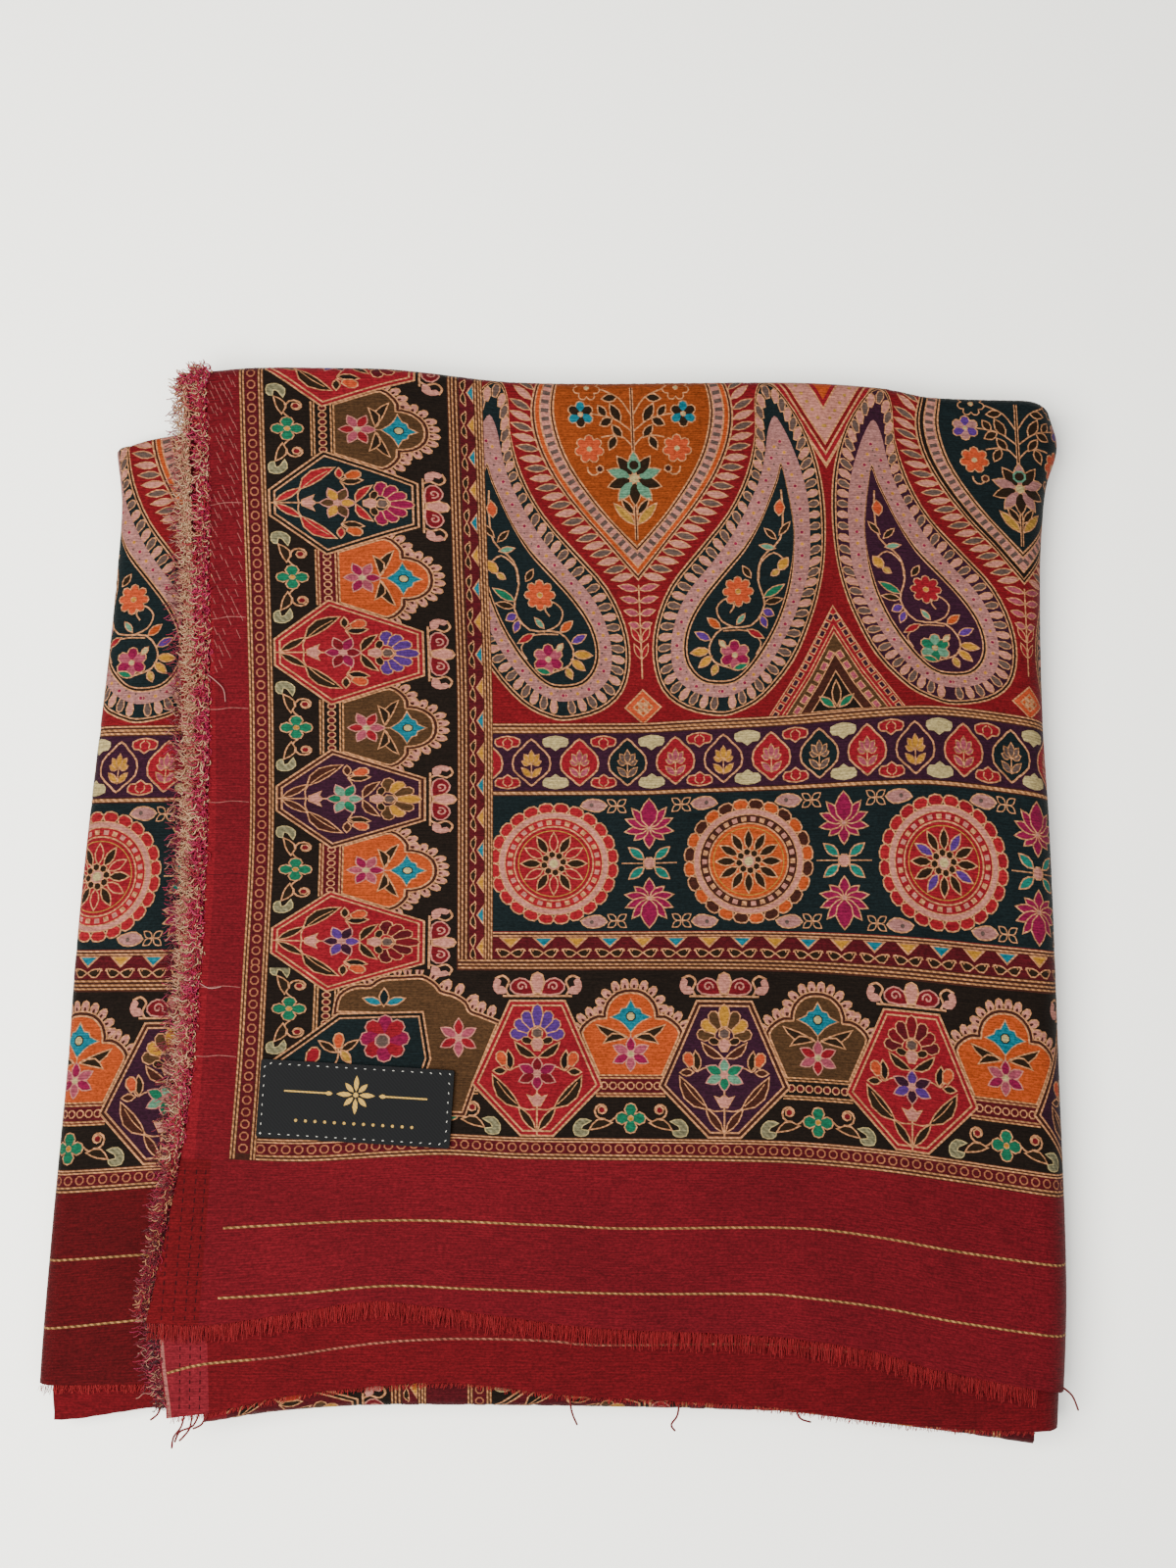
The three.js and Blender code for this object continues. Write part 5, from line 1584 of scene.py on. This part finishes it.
def stitch_tree(material):
    """Even short stitches along a line, each a small rounded bar laid along it."""
    tree, sockets, given = new_tree("stitches",
        (("Pitch", "Float"), ("Stitch", "Float"), ("Thickness", "Float")))
    line = add_node(tree, "GeometryNodeMeshToCurve", links={"Mesh": given["Edge"]})
    places = add_node(tree, "GeometryNodeCurveToPoints", {"mode": "LENGTH"},
        {"Curve": line.outputs[0], "Length": given["Pitch"]})
    bar = add_node(tree, "GeometryNodeMeshUVSphere", Segments=8, Rings=6, Radius=1.0)
    size = add_node(tree, "ShaderNodeCombineXYZ", links={"X": given["Thickness"], "Y": given["Thickness"],
        "Z": given["Stitch"]})
    placed = add_node(tree, "GeometryNodeInstanceOnPoints",
        links={"Points": places.outputs["Points"], "Instance": bar.outputs[0],
        "Rotation": places.outputs["Rotation"], "Scale": size.outputs[0]})
    real = add_node(tree, "GeometryNodeRealizeInstances", links={0: placed.outputs[0]})
    coated = add_node(tree, "GeometryNodeSetMaterial", links={"Geometry": real.outputs[0]},
        Material=material)
    add_node(tree, "NodeGroupOutput", links={0: coated.outputs[0]})
    return tree, sockets


def made_along(name, path, tree, sockets, sizes):
    """The mesh that a tree makes along a path of points in millimetres."""
    line = bpy.data.meshes.new(name)
    line.from_pydata([tuple(p) for p in np.asarray(path) * MM],
        [(i, i + 1) for i in range(len(path) - 1)], [])
    obj = linked(name, line)
    modifier = obj.modifiers.new("made", "NODES")
    modifier.node_group = tree
    for label, value in sizes.items():
        modifier[sockets[label]] = value
    evaluated = obj.evaluated_get(bpy.context.evaluated_depsgraph_get())
    made = bpy.data.meshes.new_from_object(evaluated)
    obj.modifiers.remove(modifier)
    obj.data = made
    made.name = name
    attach(obj, "root")
    return obj


material_yarn = frayed_yarn()


def loose_threads(name, paths, radius, dye):
    """Single threads that hang out of the weave, as thin four-sided tubes."""
    verts, faces = [], []
    for path in paths:
        path = smooth(path, 5)
        heading = np.gradient(path, axis=0)
        heading /= np.linalg.norm(heading, axis=1, keepdims=True)
        side = np.cross(heading, (0, 0, 1))
        side /= np.maximum(np.linalg.norm(side, axis=1, keepdims=True), 1e-6)
        up = np.cross(side, heading)
        base, last = sum(len(v) for v in verts), len(path) - 1
        ring = [path + (side * math.cos(a) + up * math.sin(a)) * radius for a in np.arange(4) * math.tau / 4]
        verts.append(np.stack(ring, axis=1).reshape(-1, 3))
        for i in range(last):
            for k in range(4):
                a, b = base + 4 * i + k, base + 4 * i + (k + 1) % 4
                faces += [(a, b, b + 4), (a, b + 4, a + 4)]
        end = base + 4 * last
        faces += [(base, base + 2, base + 1), (base, base + 3, base + 2), (end, end + 1, end + 2),
            (end, end + 2, end + 3)]
    obj = mesh_object(name, np.concatenate(verts), faces,
        colours=np.tile(yarn_colour(dye), (len(faces) * 3, 1)))
    return finished(obj, material_yarn, "fringe_yarn")


LEFTWARD, NEARWARD = (0, -math.pi / 2, 0), (math.pi / 2, 0, 0)


def fringe(name, path, dyes, node, heading=LEFTWARD, *, count, length, seed, curl=0.55, turns=1.3,
        thickness=0.13, scatter=(0.8, 0.6, 0.3), lean=(0.7, 0.5, 0.8)):
    """Yarn ends along a path of points in millimetres."""
    tree, sockets = yarn_tree(name, dyes, material_yarn)
    obj = made_along(name, path, tree, sockets, {
        "Count": count, "Seed": seed, "Length": length * MM, "Curl": curl * MM, "Turns": turns,
        "Thickness": thickness * MM, "Scatter": [c * MM for c in scatter], "Heading": heading, "Lean": lean})
    if node:
        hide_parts(node)
    return obj


CREAM_EDGE = [(-64, -95.8), (-21, -95.3), (42, -94.5), (60, -94.7), (91, -95.7), (120, -97.0), (138, -97.6)]
FUZZY_EDGE = [(y, x - 0.9) for y, x in SELVEDGE]
CORNER_TUFT = rows((-91.4, 139.6, 15.9), (-94, 139.2, 15.6), (-96.6, 137.4, 15.2), (-98.6, 134.6, 15.0))


def lifted_path(x, y, level, lifted):
    return np.column_stack([x, y, level + (waves(TOP_WAVES, x, y) if lifted else 0 * y)])


def side_path(table, low, high, level, lifted=True):
    y = np.linspace(low, high, 90)
    return lifted_path(along(table, y), y, level, lifted)


def end_path(table, low, high, level, lifted=True):
    x = np.linspace(low, high, 90)
    return lifted_path(x, along(table, x), level, lifted)


material_kani = kani_cloth()

top_flat = top_outline()
top_cloth = cloth_piece("top_cloth", top_flat, top_pattern(), drape_top,
    lines_for(-10, 243, 3.2, 208, 1.7), lines_for(-6, 262, 3.2, 248, 0.9), "crimson")
finished(top_cloth, material_kani, "shawl_right_side", "top_panel")
reverse_flat = reverse_outline()
reverse_cloth = cloth_piece("reverse_cloth", reverse_flat, reverse_pattern(), drape_reverse,
    lines_for(-110, 170, 4.0, 118, 2.0), lines_for(-140, 140, 3.5), "wrong_red")
finished(reverse_cloth, material_kani, "shawl_wrong_side", "reverse_panel")
column_flat = column_outline()
# The column's back and rim take the same darker red, which is painted shade.
column_cloth = cloth_piece("column_cloth", column_flat, column_pattern(), drape_column,
    np.concatenate([np.arange(-6, 12, 1.1), np.arange(12, 80, 3.2)]), lines_for(-6, 250, 3.2, 236, 1.0),
    "shaded_column_red")
finished(column_cloth, material_kani, "shawl_right_side", "left_panel")
column_reverse_flat = column_reverse_outline()
column_reverse = cloth_piece("column_reverse_cloth", column_reverse_flat,
    box(-200, -200, 0, 200, "wrong_red"), drape_column_reverse, lines_for(-140, -70, 5.0),
    lines_for(-140, 140, 6.0), "wrong_red")
finished(column_reverse, material_kani, "shawl_wrong_side", "left_reverse_panel")
underside_flat = underside_outline()
# Nothing on the underside is seen close to, so its smallest shapes are left out.
underside_shapes = [shape for shape in moved(top_pattern(), -131, -132) if abs(signed_area(shape[0])) > 1.6]
underside = cloth_piece("underside_cloth", underside_flat, underside_shapes, drape_underside,
    lines_for(-130, 130, 8.0), lines_for(-136, 136, 8.0), "crimson")
finished(underside, material_kani, "shawl_right_side", "base_panel")
end_fold_flat = end_fold_outline()
end_fold = cloth_piece("end_fold_cloth", end_fold_flat, end_fold_pattern(), drape_end_fold,
    lines_for(-90, 124, 3.0), lines_for(-8, 10, 1.0), "maroon")
finished(end_fold, material_kani, "shawl_right_side", "end_fold")
label = cloth_piece("label_cloth", LABEL_OUTLINE, label_pattern(), drape_label, np.arange(-24, 24, 2.0),
    np.arange(-9, 9, 2.0), "satin_black", LABEL["thickness"])
finished(label, label_satin(), "label_satin", "label")
stitch_line = drape_label(rows((-23.9, -9), (-12, -9), (0, -9), (12, -9), (23.9, -9), (23.9, 0),
    (23.9, 9), (12, 9), (0, 9), (-12, 9), (-23.9, 9), (-23.9, 0), (-23.9, -9))) + (0, 0, 0.03)
stitches = made_along("label_stitches", stitch_line, *stitch_tree(sewing_thread()),
    {"Pitch": 2.4 * MM, "Stitch": 0.32 * MM, "Thickness": 0.11 * MM})

layers = {}
for name, row in LAYERS.items():
    layer, outline = rolled_layer(name, *row)
    nodes = ["hidden_layers"] if name == "bottom" else []
    layers[name] = (finished(layer, material_kani, "shawl_layers", *nodes), outline)

CRIMSON_YARNS = ["b81a50", "9e182e", "c22c5c", "d49c74", "981c2a", "deb48c", "8a1230", "ac2048"]
LOWER_YARNS = ["8a1430", "6e1220", "a01c2c", "541220", "7c1626", "c88c60", "941a38"]
CREAM_YARNS = ["d8ac86", "cc9470", "e0ba94", "c08066", "d0a07a", "b05a54"]
DARK_YARNS = ["6a1424", "4a1020", "8c1838", "3a1420", "a83048", "c08a70"]
INNER_YARNS = ["8a1430", "a81e4e", "5a1422", "c08a78", "7a1a2c", "9c1838"]
RAW_END_YARNS = ["9a1a22", "8a161e", "942026", "7c1218"]
END_YARNS = ["a8262a", "961e22", "8c1a1e"]
selvedge_yarns = fringe("selvedge_yarns", side_path(FUZZY_EDGE, -66, 139, STACK_TOP - 0.1), CRIMSON_YARNS,
    "selvedge_fringe", count=1850, length=4.8, curl=0.75, turns=1.8, thickness=0.15,
    scatter=(1.3, 0.6, 0.35), lean=(0.9, 0.5, 0.9), seed=3)
lower_yarns = fringe("lower_yarns", side_path(FUZZY_EDGE, -107, -64, STACK_TOP - 0.1), LOWER_YARNS, None,
    count=360, length=4.0, curl=0.7, turns=1.6, thickness=0.14, scatter=(1.0, 0.6, 0.3),
    lean=(0.8, 0.5, 0.8), seed=6)
corner_yarns = fringe("corner_yarns", CORNER_TUFT, CRIMSON_YARNS, None, count=260, length=3.8, curl=0.7,
    turns=1.8, thickness=0.15, scatter=(1.4, 1.4, 0.6), lean=(0.9, 0.8, 1.2), seed=4)
cream_yarns = fringe("cream_yarns", side_path(CREAM_EDGE, -64, 137, REVERSE_TOP - 0.1), CREAM_YARNS,
    "reverse_selvedge_fringe", count=1560, length=4.0, curl=0.75, turns=1.8, thickness=0.15,
    scatter=(0.7, 0.6, 0.3), seed=5)
dark_yarns = fringe("dark_yarns", side_path(REVERSE_SELVEDGE, -131, -62, REVERSE_TOP - 0.3), DARK_YARNS,
    None, count=520, length=4.0, seed=7)
inner_yarns = fringe("inner_yarns", side_path(INNER_SELVEDGE, -128, 134, 10.9, False), INNER_YARNS,
    "inner_selvedge_fringe", count=1000, length=4.6, seed=9)
raw_end_yarns = fringe("raw_end_yarns", end_path(RAW_END, -104, 124, STACK_TOP - 0.3), RAW_END_YARNS,
    "raw_end_fringe", NEARWARD, count=2400, length=4.4, curl=0.1, turns=0.4, thickness=0.1,
    scatter=(0.1, 0.9, 0.15), lean=(0.12, 0.06, 0.2), seed=11)
reverse_end_yarns = fringe("reverse_end_yarns", end_path(REVERSE_END, -98, 124, REVERSE_TOP - 0.3),
    END_YARNS, "reverse_raw_end_fringe", NEARWARD, count=1200, length=1.3, curl=0.1, turns=0.4,
    thickness=0.09, scatter=(0.1, 0.4, 0.15), lean=(0.2, 0.1, 0.4), seed=13)
left_end_yarns = fringe("left_end_yarns", end_path(COLUMN_END, -134, -104, COLUMN_TOP - 0.3, False),
    END_YARNS, "left_end_fringe", NEARWARD, count=160, length=2.2, curl=0.12, turns=0.4, thickness=0.09,
    scatter=(0.1, 0.3, 0.15), lean=(0.2, 0.1, 0.5), seed=15)
near_threads = loose_threads("near_threads", [
    rows((-94.4, -131, 15.4), (-95.4, -135.5, 14.8), (-97.6, -138.6, 13.8), (-98.2, -141.6, 13.2)),
    rows((-90.4, -131, 15.4), (-92.4, -135.4, 14.6), (-96, -137.2, 14.0), (-97.4, -140, 13.4)),
    rows((4.4, -126, 15.2), (4.8, -131.6, 14.2), (6.3, -135.8, 12.8)),
    rows((32.6, -127, 15.2), (32.2, -132.6, 14.4), (30.6, -135.6, 13.2), (31.6, -137.4, 12.6)),
    rows((62.2, -128.6, 15.2), (63.4, -133.4, 14.2), (66.6, -135, 13.2)),
    rows((131.4, -126, 12.6), (134.4, -128.6, 12.0), (136.2, -132.6, 11.0)),
    rows((-92.4, -131, 15.4), (-93.2, -135.8, 14.8), (-95, -138.4, 14.0), (-96.2, -139.6, 13.6)),
    rows((-88.4, -130.4, 15.4), (-90, -134.8, 14.8), (-92.6, -136.4, 14.2)),
    rows((-101, -129, 10.8), (-102.4, -133.4, 10.2), (-104.6, -135.4, 9.8)),
], 0.26, "6e1016")
top_threads = loose_threads("top_threads", [
    rows((-91.0, 58.6, 16.9), (-89, 57.2, 17.9), (-86.4, 54.6, 17.8), (-85.8, 51.2, 17.6)),
    rows((-92.0, -22, 16.8), (-89, -23.4, 17.8), (-86, -23.0, 17.6)),
], 0.12, "c08a84")

declare_cloth(underside, underside_flat, [])
declare_cloth(*layers["bottom"], [underside])
declare_cloth(*layers["lower"], [layers["bottom"][0]])
declare_cloth(column_reverse, column_reverse_flat, [layers["lower"][0]])
declare_cloth(column_cloth, column_flat, [column_reverse], [left_end_yarns])
declare_cloth(*layers["middle"], [layers["lower"][0], column_cloth])
declare_cloth(*layers["inner"], [layers["middle"][0]], [inner_yarns])
declare_cloth(end_fold, end_fold_flat, [layers["inner"][0]])
declare_cloth(*layers["upper"], [layers["inner"][0]])
declare_cloth(reverse_cloth, reverse_flat, [layers["upper"][0]],
    [cream_yarns, dark_yarns, reverse_end_yarns, near_threads])
declare_cloth(top_cloth, top_flat, [reverse_cloth],
    [selvedge_yarns, lower_yarns, corner_yarns, raw_end_yarns, top_threads])
declare_cloth(label, LABEL_OUTLINE, [top_cloth], [stitches], "laid")

# The floor reaches this many metres from its middle.
REACH = 3
floor_mesh = bpy.data.meshes.new("floor")
floor_mesh.from_pydata([(x * REACH, y * REACH, 0) for x, y in ((-1, -1), (1, -1), (1, 1), (-1, 1))], [],
    [(0, 1, 2, 3)])
floor = linked("floor", floor_mesh)
floor.data.materials.append(plain_floor())

# The photo looks almost straight down, from about half a metre.
SENSOR, LENS = 36, 56.2
ELEVATION, DISTANCE = math.radians(86.5), 0.48
camera_data = bpy.data.cameras.new("camera")
camera = linked("camera", camera_data)
camera_data.sensor_fit = "HORIZONTAL"
camera_data.sensor_width = SENSOR
camera_data.lens = LENS
aim = Vector((9.1, 29.7, STACK_TOP)) * MM
camera.location = aim + Vector((0, -math.cos(ELEVATION), math.sin(ELEVATION))) * DISTANCE
camera.rotation_euler = (math.pi / 2 - ELEVATION, 0, 0)
bpy.context.scene.camera = camera


def softbox(name, place, target, size, power, colour):
    light = bpy.data.lights.new(name, "AREA")
    light.shape = "RECTANGLE"
    light.size, light.size_y = size
    light.energy = power
    light.color = srgb(colour)
    obj = linked(name, light)
    obj.location = place
    obj.rotation_euler = (Vector(target) - Vector(place)).to_track_quat("-Z", "Y").to_euler()


softbox("key", place=(-0.3, -0.04, 0.6), target=(-0.06, 0, 0), size=(0.5, 0.5), power=14.5, colour="fffdf4")
softbox("fill", place=(0.45, -0.3, 0.9), target=(0, 0, 0), size=(0.9, 0.9), power=5.0, colour="f8fafb")
world = bpy.data.worlds.new("studio")
world.use_nodes = True
world.node_tree.nodes["Background"].inputs[0].default_value = (*srgb("f2f1ee"), 1)
world.node_tree.nodes["Background"].inputs[1].default_value = 0.9
bpy.context.scene.world = world
